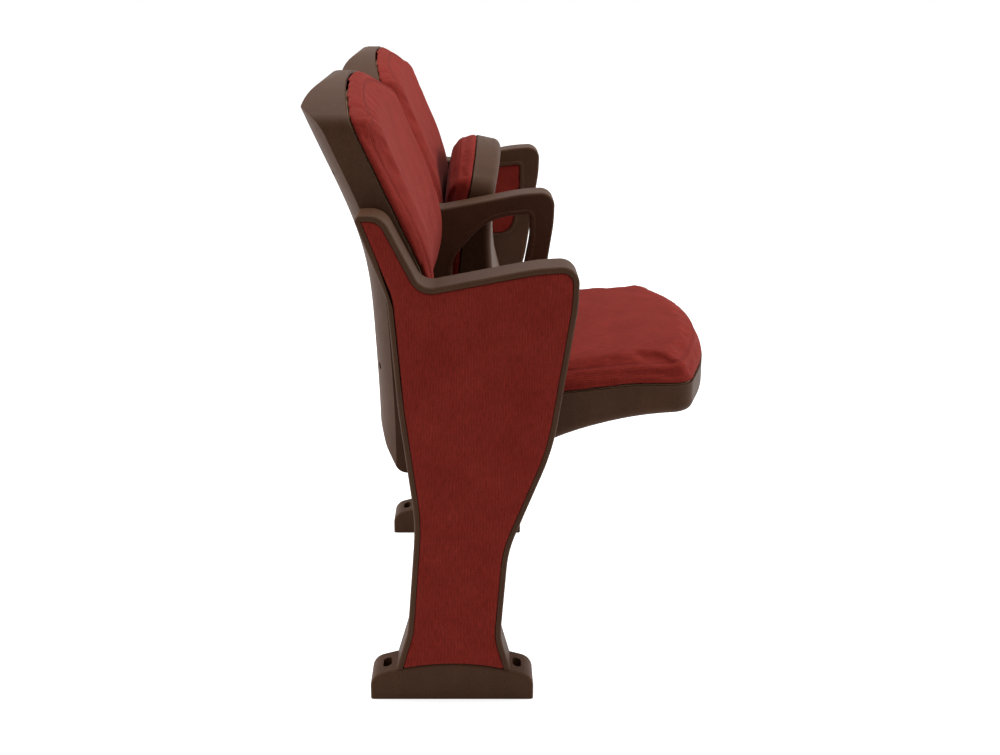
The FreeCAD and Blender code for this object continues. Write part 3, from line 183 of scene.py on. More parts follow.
def new_object(name, points, faces, material):
    mesh = bpy.data.meshes.new(name)
    mesh.from_pydata([tuple(p) for p in points], [], [tuple(f) for f in faces])
    mesh.update()
    mesh.materials.append(material)
    item = bpy.data.objects.new(name, mesh)
    bpy.context.scene.collection.objects.link(item)
    mesh.polygons.foreach_set("use_smooth", [True] * len(mesh.polygons))
    return item


def coordinates(item):
    points = np.zeros(len(item.data.vertices) * 3)
    item.data.vertices.foreach_get("co", points)
    return points.reshape(-1, 3)


def set_coordinates(item, points):
    item.data.vertices.foreach_set("co", points.astype(np.float32).ravel())
    item.data.update()


def vertex_normals(item):
    normals = np.zeros(len(item.data.vertices) * 3)
    item.data.vertex_normals.foreach_get("vector", normals)
    return normals.reshape(-1, 3)


def lay_uv(item, function):
    """UV in metres: function gives it from a face's loops' points and the face's normal."""
    layer = item.data.uv_layers.new(name="weave")
    points = coordinates(item)
    values = np.zeros((len(item.data.loops), 2))
    for face in item.data.polygons:
        loops = list(face.loop_indices)
        corners = points[list(face.vertices)]
        values[loops] = function(corners, np.array(face.normal))
    layer.data.foreach_set("uv", values.ravel())


def padded_sheet(name, line, face_y, back_y, side, round_edge, crown, material, ripple=0.0004):
    """Padded panel with an outline in X, Z (mm): a crowned face at face_y, its edge rolled over."""
    line = resample(line if area_of(line) > 0 else line[::-1], 3.0)
    rings = [line] + [inset(line, d, 3.0 + d * 0.4) for d in (0.35, 1.1, 2.3, 4.2, 7.0)]
    low = line.min(axis=0)
    high = line.max(axis=0)
    tree = tree_of(resample(line, 1.0))
    inside = []
    grid = 6.0
    for i, x in enumerate(np.arange(low[0], high[0], grid)):
        for z in np.arange(low[1] + (i % 2) * grid / 2, high[1], grid):
            if tree.find((x, z, 0))[2] > 9.5 and inside_line(x, z, line):
                inside.append((x, z))
    flat = [tuple(p) for ring in rings for p in ring] + inside
    edges = [(i, (i + 1) % len(line)) for i in range(len(line))]
    result = geometry.delaunay_2d_cdt([Vector(p) for p in flat], edges, [], 1, 1e-4)
    points2d = np.array([(p.x, p.y) for p in result[0]])
    faces = [list(f) for f in result[2]]
    distance = np.array([tree.find((*p, 0))[2] for p in points2d])
    roll = np.clip(distance / round_edge, 0, 1)
    drop = round_edge * (1 - np.sqrt(np.clip(1 - (1 - roll) ** 2, 0, 1)))
    swell = crown * (1 - np.exp(-distance / 22))
    waves = np.array([noise.noise(Vector((p[0] / 42, p[1] / 60, 3.1 + side))) for p in points2d])
    height = -drop * MM + swell * MM + waves * ripple * np.clip(distance / 20, 0, 1)
    y = face_y + side * height
    points = np.column_stack([points2d[:, 0] * MM, y, points2d[:, 1] * MM])
    first = len(points)
    rim = rim_of(faces)
    back = points[rim].copy()
    back[:, 1] = back_y
    points = np.vstack([points, back])
    count = len(rim)
    for i in range(count):
        j = (i + 1) % count
        faces.append([rim[j], rim[i], first + i, first + j])
    faces.append([first + i for i in range(count)])
    item = new_object(name, points, faces, material)
    tidy_normals(item)
    lay_uv(item, lambda corners, normal: corners[:, [0, 2]] if abs(normal[1]) > 0.5
           else np.column_stack([corners[:, 0] + corners[:, 1], corners[:, 2]]))
    return item


def inside_line(x, z, line):
    """Whether a point lies inside a closed line."""
    u, v = line.T
    w = np.roll(u, -1)
    t = np.roll(v, -1)
    crosses = ((v > z) != (t > z))
    with np.errstate(divide="ignore", invalid="ignore"):
        at = (w - u) * (z - v) / (t - v) + u
    return bool(np.sum(crosses & (x < at)) % 2)


def rim_of(faces):
    """The outer edge loop of a flat triangle mesh, in order."""
    edges = {}
    for face in faces:
        for a, b in zip(face, face[1:] + face[:1]):
            edges[(a, b)] = True
    following = {a: b for a, b in edges if (b, a) not in edges}
    start = next(iter(following))
    loop = [start]
    while following[loop[-1]] != start:
        loop.append(following[loop[-1]])
    return loop


def tidy_normals(item):
    """Turns the faces' normals outward."""
    work = bmesh.new()
    work.from_mesh(item.data)
    bmesh.ops.recalc_face_normals(work, faces=work.faces)
    work.to_mesh(item.data)
    work.free()
    item.data.update()


# ---------------------------------------------------------------- cushions

def node_copy(node, name, material):
    """New object with a CAD node's mesh, welded."""
    mesh = frame["nodes"][node].data.copy()
    mesh.name = name
    mesh.materials.clear()
    mesh.materials.append(material)
    item = bpy.data.objects.new(name, mesh)
    bpy.context.scene.collection.objects.link(item)
    work = bmesh.new()
    work.from_mesh(mesh)
    bmesh.ops.remove_doubles(work, verts=work.verts, dist=1e-5)
    work.to_mesh(mesh)
    work.free()
    return item


def baked(item):
    """Applies the item's modifiers to its mesh."""
    bpy.context.view_layer.update()
    result = bpy.data.meshes.new_from_object(item.evaluated_get(bpy.context.evaluated_depsgraph_get()))
    item.modifiers.clear()
    old = item.data
    item.data = result
    bpy.data.meshes.remove(old)


def remeshed(item, size):
    modifier = item.modifiers.new("remesh", "REMESH")
    modifier.mode = "VOXEL"
    modifier.voxel_size = size
    modifier.use_smooth_shade = True
    baked(item)


def relaxed(item, rounds, factor=0.5):
    modifier = item.modifiers.new("relax", "SMOOTH")
    modifier.iterations = rounds
    modifier.factor = factor
    baked(item)


def swollen(item, held, limit, shrink, pressure):
    """Cloth simulation under pressure. held is each vertex's hold, from 0 to 1; limit caps its move."""
    rest = coordinates(item)
    if shrink:
        rest = rest - vertex_normals(item) * shrink * (1 - held[:, None])
        set_coordinates(item, rest)
    group = item.vertex_groups.new(name="held")
    for index, value in enumerate(held):
        group.add([index], float(value), "REPLACE")
    modifier = item.modifiers.new("cloth", "CLOTH")
    cloth = modifier.settings
    cloth.vertex_group_mass = "held"
    cloth.quality = 6
    cloth.mass = 0.4
    cloth.tension_stiffness = 12
    cloth.compression_stiffness = 12
    cloth.shear_stiffness = 6
    cloth.bending_stiffness = 1.2
    cloth.use_pressure = True
    cloth.uniform_pressure_force = pressure
    cloth.effector_weights.gravity = 0
    modifier.point_cache.frame_start = 1
    modifier.point_cache.frame_end = SIM_FRAMES
    for number in range(1, SIM_FRAMES + 1):
        bpy.context.scene.frame_set(number)
    baked(item)
    bpy.context.scene.frame_set(1)
    moved = coordinates(item) - rest
    length = np.linalg.norm(moved, axis=1)
    scale = np.minimum(1, limit / np.maximum(length, 1e-9))
    set_coordinates(item, rest + moved * scale[:, None])


def subdivided(item):
    modifier = item.modifiers.new("subdivide", "SUBSURF")
    modifier.levels = 1
    modifier.render_levels = 1
    baked(item)


def crease(item, line, direction, depth, width):
    """Presses a seam into the item: each point near the line goes in along the line's direction."""
    tree = tree_of(line)
    points = coordinates(item)
    reach = width * 2.6
    for index, point in enumerate(points):
        _, nearest, distance = tree.find(point)
        if distance < reach:
            points[index] += direction[nearest] * depth * math.exp(-(distance / width) ** 2)
    set_coordinates(item, points)


def cast_line(item, starts, directions):
    """Where rays meet the item, and the rays' directions there."""
    tree = BVHTree.FromPolygons([v.co for v in item.data.vertices],
                                [tuple(p.vertices) for p in item.data.polygons])
    hits = []
    ways = []
    for start, way in zip(starts, directions):
        hit = tree.ray_cast(Vector(start), Vector(way))
        if hit[0] is not None:
            hits.append(np.array(hit[0]))
            ways.append(np.array(way))
    return hits, ways


def stitches(name, line, normals, material, pitch=4.6 * MM, length=3.0 * MM, radius=0.42 * MM):
    """Short threads along a line that lies on a surface."""
    line = np.array(line)
    normals = np.array(normals)
    steps = np.linalg.norm(np.diff(line, axis=0), axis=1)
    along = np.append(0, np.cumsum(steps))
    count = int(along[-1] / pitch)
    points = []
    faces = []
    sides = STITCH_SIDES
    for number in range(count):
        middle = (number + 0.5) * pitch
        if np.interp(middle, along[1:], steps) > 12 * MM:
            continue
        ends = []
        for share, drop in ((-0.5, 0.5), (-0.3, -0.25), (0, -0.5), (0.3, -0.25), (0.5, 0.5)):
            at = middle + share * length
            centre = np.array([np.interp(at, along, line[:, k]) for k in range(3)])
            normal = np.array([np.interp(at, along, normals[:, k]) for k in range(3)])
            ends.append((centre - normal * drop * radius * 1.4, normal))
        forward = ends[-1][0] - ends[0][0]
        size = np.linalg.norm(forward)
        if size < 1e-6:
            continue
        forward = forward / size
        base = len(points)
        for (centre, normal), thick in zip(ends, (0.35, 0.9, 1, 0.9, 0.35)):
            across = np.cross(forward, normal)
            across /= max(np.linalg.norm(across), 1e-9)
            up = np.cross(across, forward)
            for k in range(sides):
                angle = 2 * math.pi * k / sides
                points.append(centre + (across * math.cos(angle) + up * math.sin(angle)) * radius * thick)
        for ring in range(4):
            for k in range(sides):
                a = base + ring * sides + k
                b = base + ring * sides + (k + 1) % sides
                faces.append((a, b, b + sides, a + sides))
        faces.append(tuple(base + k for k in reversed(range(sides))))
        faces.append(tuple(base + 4 * sides + k for k in range(sides)))
    item = new_object(name, points, faces, material)
    tidy_normals(item)
    return item


def tucked(item, above, depth=0.0016, band=0.006):
    """Draws the rim in where a cushion meets its shell. above is each point's height over it."""
    points = coordinates(item)
    points -= vertex_normals(item) * (np.clip(1 - above / band, 0, 1) * depth)[:, None]
    set_coordinates(item, points)


def way_along(tree, count, places):
    """How far along a closed outline of count points each place lies, without a jump at its start."""
    turns = [tree.find((u, v, 0))[1] for u, v in places]
    low = min(turns)
    turns = [t - count if t - low > count / 2 else t for t in turns]
    return np.array(turns) * OUTLINE_STEP * MM


# ---------------------------------------------------------------- materials

def node_material(name):
    """New material with its node tree and shader."""
    material = bpy.data.materials.new(name)
    material.use_nodes = True
    tree = material.node_tree
    shader = tree.nodes["Principled BSDF"]
    return material, tree, shader


def add(tree, kind, **values):
    node = tree.nodes.new(kind)
    for key, value in values.items():
        setattr(node, key, value)
    return node


def ramp(tree, source, low, high, colours):
    node = add(tree, "ShaderNodeValToRGB")
    node.color_ramp.elements[0].position = low
    node.color_ramp.elements[1].position = high
    node.color_ramp.elements[0].color = (*colours[0], 1)
    node.color_ramp.elements[1].color = (*colours[1], 1)
    tree.links.new(source, node.inputs["Fac"])
    return node.outputs["Color"]


def mix(tree, factor, a, b, blend="MIX"):
    node = add(tree, "ShaderNodeMix", data_type="RGBA", blend_type=blend)
    for socket, value in ((node.inputs["Factor"], factor), (node.inputs["A"], a), (node.inputs["B"], b)):
        if isinstance(value, bpy.types.NodeSocket):
            tree.links.new(value, socket)
        elif isinstance(value, (int, float)):
            socket.default_value = value
        else:
            socket.default_value = (*value, 1)
    return node.outputs["Result"]


def math_node(tree, operation, a, b=0.0):
    node = add(tree, "ShaderNodeMath", operation=operation)
    for socket, value in zip(node.inputs, (a, b)):
        if isinstance(value, bpy.types.NodeSocket):
            tree.links.new(value, socket)
        else:
            socket.default_value = value
    return node.outputs[0]


def mapping(tree, source, scale, rotation=(0, 0, 0)):
    node = add(tree, "ShaderNodeMapping")
    node.inputs["Scale"].default_value = scale
    node.inputs["Rotation"].default_value = rotation
    tree.links.new(source, node.inputs["Vector"])
    return node.outputs["Vector"]


def noise_node(tree, vector, scale, detail=2.0, roughness=0.5):
    node = add(tree, "ShaderNodeTexNoise")
    node.inputs["Scale"].default_value = scale
    node.inputs["Detail"].default_value = detail
    node.inputs["Roughness"].default_value = roughness
    tree.links.new(vector, node.inputs["Vector"])
    return node.outputs["Fac"]


def bump(tree, height, strength, distance, normal=None):
    node = add(tree, "ShaderNodeBump")
    node.inputs["Strength"].default_value = strength
    node.inputs["Distance"].default_value = distance
    tree.links.new(height, node.inputs["Height"])
    if normal is not None:
        tree.links.new(normal, node.inputs["Normal"])
    return node.outputs["Normal"]


def fabric(name, base, dark, light, turned):
    """Deep red cloth of fine staggered ribs, with a soft nap and slight shade bands."""
    material, tree, shader = node_material(name)
    uv = add(tree, "ShaderNodeUVMap", uv_map="weave").outputs["UV"]
    ribs = mapping(tree, uv, (1, 1, 1), (0, 0, math.pi / 2 if turned else 0))
    brick = add(tree, "ShaderNodeTexBrick", offset=0.5, squash=1.0)
    for key, value in (("Scale", 1.0), ("Mortar Size", 0.00055), ("Mortar Smooth", 1.0),
                       ("Bias", 0.0), ("Brick Width", 0.0052), ("Row Height", 0.0021)):
        brick.inputs[key].default_value = value
    brick.inputs["Color1"].default_value = (0.25, 0.25, 0.25, 1)
    brick.inputs["Color2"].default_value = (0.85, 0.85, 0.85, 1)
    brick.inputs["Mortar"].default_value = (0.0, 0.0, 0.0, 1)
    tree.links.new(ribs, brick.inputs["Vector"])
    drift = noise_node(tree, mapping(tree, uv, (1, 1, 1)), 16.0, 3.0, 0.55)
    slub = noise_node(tree, mapping(tree, ribs, (60, 900, 1)), 1.0, 2.0, 0.6)
    fibre = noise_node(tree, mapping(tree, uv, (1, 1, 1)), 2600.0, 2.0, 0.7)
    shade = ramp(tree, drift, 0.32, 0.68, (base, light))
    tint = mix(tree, math_node(tree, "MULTIPLY", brick.outputs["Fac"], 0.55), shade, dark)
    streak = ramp(tree, slub, 0.36, 0.66, ((0.80, 0.80, 0.80), (1.14, 1.14, 1.14)))
    tint = mix(tree, 1.0, tint, streak, "MULTIPLY")
    thread = ramp(tree, brick.outputs["Color"], 0.2, 0.9, ((0.90, 0.90, 0.90), (1.10, 1.08, 1.08)))
    tint = mix(tree, 1.0, tint, thread, "MULTIPLY")
    tree.links.new(tint, shader.inputs["Base Color"])
    rough = add(tree, "ShaderNodeMapRange")
    rough.inputs["To Min"].default_value = 0.78
    rough.inputs["To Max"].default_value = 0.95
    tree.links.new(fibre, rough.inputs["Value"])
    tree.links.new(rough.outputs["Result"], shader.inputs["Roughness"])
    shader.inputs["Specular IOR Level"].default_value = 0.06
    shader.inputs["Sheen Weight"].default_value = 0.06
    shader.inputs["Sheen Roughness"].default_value = 0.45
    shader.inputs["Sheen Tint"].default_value = (1.0, 0.62, 0.58, 1)
    weave = math_node(tree, "SUBTRACT", 1.0, brick.outputs["Fac"])
    height = math_node(tree, "ADD", weave, math_node(tree, "MULTIPLY", fibre, 0.35))
    height = math_node(tree, "ADD", height, math_node(tree, "MULTIPLY", slub, 0.5))
    normal = bump(tree, height, 0.55, 0.0004)
    normal = bump(tree, drift, 0.25, 0.003, normal)
    tree.links.new(normal, shader.inputs["Normal"])
    return material


def moulding(name, base, light, grain_scale=900.0):
    """Brown plastic with a fine grained skin, and a painted highlight that lightens it a little along its
    rounded edges.
    """
    material, tree, shader = node_material(name)
    place = add(tree, "ShaderNodeTexCoord").outputs["Object"]
    grain = add(tree, "ShaderNodeTexVoronoi", feature="SMOOTH_F1")
    grain.inputs["Scale"].default_value = grain_scale
    grain.inputs["Smoothness"].default_value = 0.6
    tree.links.new(place, grain.inputs["Vector"])
    flow = noise_node(tree, place, 14.0, 4.0, 0.6)
    fine = noise_node(tree, place, 420.0, 3.0, 0.65)
    streaks = noise_node(tree, mapping(tree, place, (30, 30, 5)), 3.0, 3.0, 0.6)
    colour = ramp(tree, flow, 0.3, 0.72, (base, light))
    speck = ramp(tree, fine, 0.35, 0.7, ((0.86, 0.86, 0.86), (1.16, 1.15, 1.14)))
    colour = mix(tree, 1.0, colour, speck, "MULTIPLY")
    dusty = ramp(tree, streaks, 0.45, 0.8, ((1.0, 1.0, 1.0), (1.12, 1.12, 1.13)))
    colour = mix(tree, 1.0, colour, dusty, "MULTIPLY")
    # Painted highlight: the colour is lightened along rounded edges, where they would catch the light.
    edge = add(tree, "ShaderNodeBevel", samples=4)
    edge.inputs["Radius"].default_value = 0.0025
    true = add(tree, "ShaderNodeNewGeometry").outputs["Normal"]
    dot = add(tree, "ShaderNodeVectorMath", operation="DOT_PRODUCT")
    tree.links.new(edge.outputs["Normal"], dot.inputs[0])
    tree.links.new(true, dot.inputs[1])
    edge_highlight_mask = add(tree, "ShaderNodeMapRange")
    edge_highlight_mask.inputs["From Min"].default_value = 0.995
    edge_highlight_mask.inputs["From Max"].default_value = 0.88
    edge_highlight_mask.inputs["To Max"].default_value = 0.45
    tree.links.new(dot.outputs["Value"], edge_highlight_mask.inputs["Value"])
    edge_highlight_colour = mix(tree, 1.0, colour, (1.5, 1.48, 1.45), "MULTIPLY")
    colour = mix(tree, edge_highlight_mask.outputs["Result"], colour, edge_highlight_colour)
    tree.links.new(colour, shader.inputs["Base Color"])
    rough = add(tree, "ShaderNodeMapRange")
    rough.inputs["To Min"].default_value = 0.46
    rough.inputs["To Max"].default_value = 0.66
    tree.links.new(fine, rough.inputs["Value"])
    tree.links.new(rough.outputs["Result"], shader.inputs["Roughness"])
    shader.inputs["Specular IOR Level"].default_value = 0.10
    height = math_node(tree, "ADD", grain.outputs["Distance"], math_node(tree, "MULTIPLY", fine, 0.8))
    tree.links.new(bump(tree, height, 0.5, 0.0003), shader.inputs["Normal"])
    return material


def metal(name, colour, roughness, metallic):
    """Metal with a rolled or turned skin: fine scratches and a little staining."""
    material, tree, shader = node_material(name)
    place = add(tree, "ShaderNodeTexCoord").outputs["Object"]
    scratch = noise_node(tree, mapping(tree, place, (60, 900, 60)), 4.0, 3.0, 0.6)
    stain = noise_node(tree, place, 35.0, 3.0, 0.5)
    tint = ramp(tree, stain, 0.3, 0.75, (tuple(c * 0.8 for c in colour), colour))
    tree.links.new(tint, shader.inputs["Base Color"])
    rough = add(tree, "ShaderNodeMapRange")
    rough.inputs["To Min"].default_value = roughness * 0.8
    rough.inputs["To Max"].default_value = min(1, roughness * 1.25)
    tree.links.new(scratch, rough.inputs["Value"])
    tree.links.new(rough.outputs["Result"], shader.inputs["Roughness"])
    shader.inputs["Metallic"].default_value = metallic
    tree.links.new(bump(tree, scratch, 0.2, 0.0002), shader.inputs["Normal"])
    return material


def soft_plain(name, colour, roughness, grain):
    """Nylon, rubber or plywood: a plain body colour with a fine grain."""
    material, tree, shader = node_material(name)
    place = add(tree, "ShaderNodeTexCoord").outputs["Object"]
    figure = noise_node(tree, mapping(tree, place, grain), 1.0, 4.0, 0.6)
    tint = ramp(tree, figure, 0.3, 0.7, (tuple(c * 0.75 for c in colour), colour))
    tree.links.new(tint, shader.inputs["Base Color"])
    shader.inputs["Roughness"].default_value = roughness
    tree.links.new(bump(tree, figure, 0.3, 0.0003), shader.inputs["Normal"])
    return material


RED = (0.238, 0.0222, 0.0150)
RED_DARK = (0.130, 0.0113, 0.0077)
RED_LIGHT = (0.285, 0.0305, 0.0212)
BROWN = (0.058, 0.0252, 0.0125)
BROWN_LIGHT = (0.073, 0.0330, 0.0168)
cloth_upright = fabric("cloth_upright_ribs", RED, RED_DARK, RED_LIGHT, True)
cloth_across = fabric("cloth_cross_ribs", RED, RED_DARK, RED_LIGHT, False)
thread_material = soft_plain("seam_thread", (0.26, 0.030, 0.024), 0.8, (900, 900, 900))
brown = moulding("brown_moulding_skin", BROWN, BROWN_LIGHT)
brown_plate = moulding("number_plate_skin", (0.066, 0.030, 0.016), (0.081, 0.038, 0.021), 1400.0)
finishes = {"brown_moulding": brown,
            "plate": brown_plate,
            "board": soft_plain("plywood", (0.52, 0.36, 0.21), 0.7, (12, 160, 400)),
            "frame_steel": metal("black_coated_steel", (0.030, 0.029, 0.028), 0.5, 0.0),
            "bush": soft_plain("nylon", (0.72, 0.70, 0.64), 0.4, (300, 300, 300)),
            "rubber": soft_plain("black_rubber", (0.022, 0.022, 0.022), 0.75, (500, 500, 500)),
            "spring_steel": metal("oiled_spring_steel", (0.34, 0.34, 0.35), 0.3, 1.0),
            "fastener_steel": metal("zinc_plated_steel", (0.56, 0.56, 0.57), 0.32, 1.0),
            "upholstery": cloth_upright}
slots = {part["node"]: part["material_slot"] for part in frame["record"]["subparts"]}
for node, item in frame["nodes"].items():
    item.data.materials.clear()
    item.data.materials.append(finishes[slots[node]])


# ---------------------------------------------------------------- side and window panels

def panel_line():
    """Outline of the upholstered side panel: the standard's, drawn in, above the foot's arch."""
    edge = inset(standard_line(), 8.6, 2.0)
    floor = np.array([foot_top(x) + 0.6 for x in edge[:, 0]])
    upper = edge[edge[:, 1] > floor]
    start = int(np.argmax(np.hypot(*np.diff(np.vstack([upper, upper[:1]]), axis=0).T)))
    upper = np.roll(upper, -start - 1, axis=0)
    foot = [(x, foot_top(x) + 0.6) for x in np.linspace(upper[-1][0], upper[0][0], 60)[1:-1]]
    return np.vstack([upper, foot])


panel = panel_line()
window = inset(window_line(), 0.6, 2.0)
for word, side in (("near", -1), ("far", 1)):
    outer = side * (PITCH + HALF_STANDARD)
    inner = side * (PITCH - HALF_STANDARD)
    sheet = padded_sheet(word + "_side_upholstery", panel, outer + side * 0.0003, outer - side * 0.004,
                         side, 2.6, 1.1, cloth_upright)
    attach(sheet, "row")
    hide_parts(word + "_side_panel")
    pad = padded_sheet(word + "_window_upholstery", window, inner + side * 0.001, inner + side * 0.0115,
                       -side, 2.2, 0.6, cloth_upright)
    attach(pad, "row")
    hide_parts(word + "_window_panel")


# ---------------------------------------------------------------- seat cushion

def seat_joint(x):
    """Height of the joint of pan and cushion above the pivot, for x ahead of the pivot, in metres."""
    slope = (SEAT_JOINT_KNEE - SEAT_JOINT_REAR) / (SEAT_KNEE - SEAT_REAR)
    place = x + PIVOT.x
    if place <= SEAT_KNEE:
        return SEAT_JOINT_REAR + slope * (place - SEAT_REAR) - PIVOT.z
    return SEAT_JOINT_KNEE + SEAT_JOINT_SLOPE * (place - SEAT_KNEE) - PIVOT.z


def above_seat_joint(points):
    """Each point's height above the joint of pan and cushion."""
    return np.array([z - seat_joint(x) for x, z in points[:, [0, 2]]])


def seat_cushion():
    """The lowered seat's cushion, about its pivot."""
    item = node_copy("seat_a_cushion", "seat_a_upholstery", cloth_across)
    place = Vector((PIVOT.x, rows["a"], PIVOT.z))
    item.data.transform(Matrix.Translation(-place))
    remeshed(item, VOXEL)
    relaxed(item, 3)
    held = np.clip(1 - (above_seat_joint(coordinates(item)) - 0.004) / 0.012, 0, 1)
    swollen(item, held, 0.007, 0.0035, 3.5)
    relaxed(item, 2)
    subdivided(item)
    tucked(item, above_seat_joint(coordinates(item)))
    plan = inset(seat_plan_line(), 4.0, OUTLINE_STEP) * MM
    normals = -inward(plan)
    run = 0.09
    fall = 0.75
    seam_height = 0.040
    starts = [(p[0] + n[0] * run, p[1] + n[1] * run, seat_joint(p[0]) + seam_height + run * fall)
              for p, n in zip(plan, normals)]
    ways = [Vector((-n[0], -n[1], -fall)).normalized() for n in normals]
    hits, ways = cast_line(item, starts, ways)
    crease(item, hits, ways, 0.0016, 0.0022)
    points = coordinates(item)
    gentle = np.array([noise.noise(Vector((p[0] * 11, p[1] * 9, 1.7))) for p in points])
    rise = np.clip((above_seat_joint(points) - 0.034) / 0.01, 0, 1)
    points[:, 2] += gentle * rise * 0.0012
    set_coordinates(item, points)
    outline = resample(seat_plan_line(), OUTLINE_STEP) * MM
    tree = tree_of(outline)
    item.data.materials.append(cloth_upright)

    def unwrap(corners, normal):
        if abs(normal[2]) > LEVEL_FACE:
            return corners[:, [0, 1]]
        return np.column_stack([way_along(tree, len(outline), corners[:, [0, 1]]), corners[:, 2]])

    lay_uv(item, unwrap)
    for face in item.data.polygons:
        face.material_index = 0 if abs(face.normal[2]) > LEVEL_FACE else 1
        face.use_smooth = True
    return item, hits, ways


def moved_copy(item, name, matrix):
    """New object with the item's mesh moved by a matrix."""
    copy = bpy.data.objects.new(name, item.data.copy())
    copy.data.transform(matrix)
    bpy.context.scene.collection.objects.link(copy)
    return copy


def dress(item, body, node):
    """Lets a cushion ride on a body in place of a CAD node."""
    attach(item, body)
    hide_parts(node)


cushion, seam, seam_ways = seat_cushion()
thread = stitches("seat_a_seam_stitches", seam, [-way for way in seam_ways], thread_material)
lowered = Matrix.Translation(Vector((PIVOT.x, rows["a"], PIVOT.z)))
tipped = Matrix.Translation(Vector((PIVOT.x, rows["b"], PIVOT.z))) @ Matrix.Rotation(-TIP, 4, "Y")
for form, piece in ((cushion, "upholstery"), (thread, "seam_stitches")):
    other = moved_copy(form, "seat_b_" + piece, tipped)
    form.data.transform(lowered)
    if piece == "upholstery":
        dress(form, "seat_a", "seat_a_cushion")
        dress(other, "seat_b", "seat_b_cushion")
    else:
        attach(form, "seat_a")
        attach(other, "seat_b")


# ---------------------------------------------------------------- back cushion

def joint_x(z):
    """Joint of a back's shell and cushion, at a height."""
    if z >= BACK_KNEE_Z:
        return BACK_KNEE_X + (z - BACK_KNEE_Z) / 0.267 * -0.1225
    return BACK_FOOT_X + (z - BACK_FOOT_Z) / 0.172 * 0.0265


def ahead_of_joint(points):
    """How far each point lies in front of that joint."""
    return np.array([x - joint_x(z) for x, z in points[:, [0, 2]]])


def back_outline(distance):
    """A back from the front, about its middle, in metres."""
    line = rounded(((252, 303, 0), (249, 574, 14000), (252, 845, 26), (0, 924.5, 731), (-252, 845, 26),
                    (-249, 574, 14000), (-252, 303, 0)))
    return inset(line, distance, OUTLINE_STEP) * MM


def back_cushion():
    """The near place's back cushion, about its own middle."""
    item = node_copy("back_a_cushion", "back_a_upholstery", cloth_across)
    item.data.transform(Matrix.Translation(Vector((0, -rows["a"], 0))))
    remeshed(item, VOXEL)
    relaxed(item, 3)
    held = np.clip(1 - (ahead_of_joint(coordinates(item)) - 0.004) / 0.010, 0, 1)
    swollen(item, held, 0.006, 0.003, 3.0)
    relaxed(item, 2)
    subdivided(item)
    tucked(item, ahead_of_joint(coordinates(item)))
    points = coordinates(item)
    widest = np.array([0.2520 if z < 0.74 else 0.2530 for z in points[:, 2]])
    points[:, 1] = np.clip(points[:, 1], -widest, widest)
    set_coordinates(item, points)
    line = [p for p in back_outline(16.0) if p[1] > 0.470]
    gaps = [np.hypot(*(np.array(here) - np.array(line[i - 1]))) for i, here in enumerate(line)]
    start = int(np.argmax(gaps))
    line = line[start:] + line[:start]
    starts = [(0.25, p[0], p[1]) for p in line]
    hits, ways = cast_line(item, starts, [Vector((-1, 0, 0))] * len(starts))
    crease(item, hits, ways, 0.0020, 0.0024)
    item.data.materials.append(cloth_upright)
    outline = resample(rounded(((252, 303, 0), (252, 845, 26), (0, 924.5, 731), (-252, 845, 26),
                                (-252, 303, 0))), OUTLINE_STEP) * MM
    tree = tree_of(outline)

    def unwrap(corners, normal):
        if abs(normal[0]) > UPRIGHT_FACE:
            return corners[:, [2, 1]]
        return np.column_stack([corners[:, 0], way_along(tree, len(outline), corners[:, [1, 2]])])

    lay_uv(item, unwrap)
    for face in item.data.polygons:
        face.use_smooth = True
    return item, hits, ways


back, back_seam, back_ways = back_cushion()
back_thread = stitches("back_a_seam_stitches", back_seam, [-way for way in back_ways], thread_material)
for form, piece in ((back, "upholstery"), (back_thread, "seam_stitches")):
    other = moved_copy(form, "back_b_" + piece, Matrix.Translation(Vector((0, rows["b"], 0))))
    form.data.transform(Matrix.Translation(Vector((0, rows["a"], 0))))
    if piece == "upholstery":
        dress(form, "row", "back_a_cushion")
        dress(other, "row", "back_b_cushion")
    else:
        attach(form, "row")
        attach(other, "row")


# ---------------------------------------------------------------- floor, light and camera

def stage_material(name, strength):
    """Pale floor that shows white to the camera, apart from a part of its shadow."""
    material, tree, shader = node_material(name)
    shader.inputs["Base Color"].default_value = (0.82, 0.82, 0.82, 1)
    shader.inputs["Roughness"].default_value = 0.9
    path = add(tree, "ShaderNodeLightPath")
    shown = math_node(tree, "MAXIMUM", path.outputs["Is Camera Ray"], path.outputs["Is Glossy Ray"])
    glow = add(tree, "ShaderNodeEmission")
    glow.inputs["Color"].default_value = (1, 1, 1, 1)
    tree.links.new(math_node(tree, "MULTIPLY", shown, strength), glow.inputs["Strength"])
    total = add(tree, "ShaderNodeAddShader")
    tree.links.new(shader.outputs["BSDF"], total.inputs[0])
    tree.links.new(glow.outputs["Emission"], total.inputs[1])
    tree.links.new(total.outputs["Shader"], tree.nodes["Material Output"].inputs["Surface"])
    return material


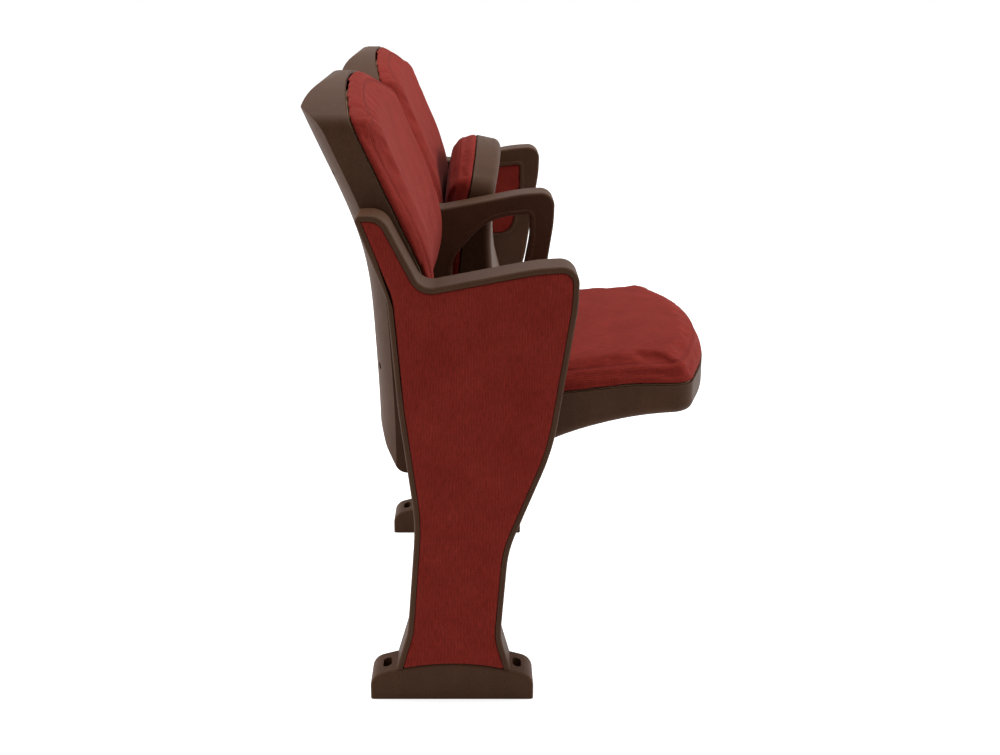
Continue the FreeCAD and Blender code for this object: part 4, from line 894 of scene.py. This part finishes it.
floor_mesh = bpy.data.meshes.new("floor")
floor_mesh.from_pydata([(x * FLOOR_REACH, y * FLOOR_REACH, -FLOOR_DROP)
                        for x, y in ((-1, -1), (1, -1), (1, 1), (-1, 1))], [], [(0, 1, 2, 3)])
floor_mesh.materials.append(stage_material("pale_floor", 0.7))
floor = bpy.data.objects.new("floor", floor_mesh)
bpy.context.scene.collection.objects.link(floor)

world = bpy.data.worlds.new("studio")
world.use_nodes = True
bpy.context.scene.world = world
tree = world.node_tree
background = tree.nodes["Background"]
background.inputs["Color"].default_value = (1, 1, 1, 1)
path = add(tree, "ShaderNodeLightPath")
seen = math_node(tree, "MAXIMUM", path.outputs["Is Camera Ray"], path.outputs["Is Glossy Ray"])
seen = math_node(tree, "MAXIMUM", seen, path.outputs["Is Transmission Ray"])
level = add(tree, "ShaderNodeMapRange")
level.inputs["To Min"].default_value = WORLD_LEVEL
level.inputs["To Max"].default_value = 1.0
tree.links.new(seen, level.inputs["Value"])
tree.links.new(level.outputs["Result"], background.inputs["Strength"])


def lamp(name, place, target, size, power):
    """Round soft lamp that faces a target."""
    data = bpy.data.lights.new(name, "AREA")
    data.shape = "DISK"
    data.size = size
    data.energy = power
    item = bpy.data.objects.new(name, data)
    item.location = place
    item.rotation_euler = (Vector(target) - Vector(place)).to_track_quat("-Z", "Y").to_euler()
    bpy.context.scene.collection.objects.link(item)


lamp("lamp_rear", (-3.2, 0.4, 2.2), (0, 0, 0.5), 2.2, 95)
lamp("lamp_front", (3.2, 0.6, 2.4), (0, 0, 0.5), 2.2, 80)
lamp("lamp_top", (0.2, 0.4, 3.6), (0, 0, 0.4), 2.4, 46)

camera_data = bpy.data.cameras.new("camera")
camera = bpy.data.objects.new("camera", camera_data)
camera.location = (0.034, -2.278, 1.0556)
camera.rotation_euler = (math.radians(74.8), 0, 0)
camera_data.sensor_width = 36
camera_data.lens = FOCAL_PIXELS * camera_data.sensor_width / IMAGE_WIDTH
camera_data.shift_x = 0.025
camera_data.shift_y = -0.07
camera_data.clip_start = 0.05
camera_data.clip_end = 100
bpy.context.scene.collection.objects.link(camera)
bpy.context.scene.camera = camera
bpy.context.scene.view_settings.view_transform = "Standard"
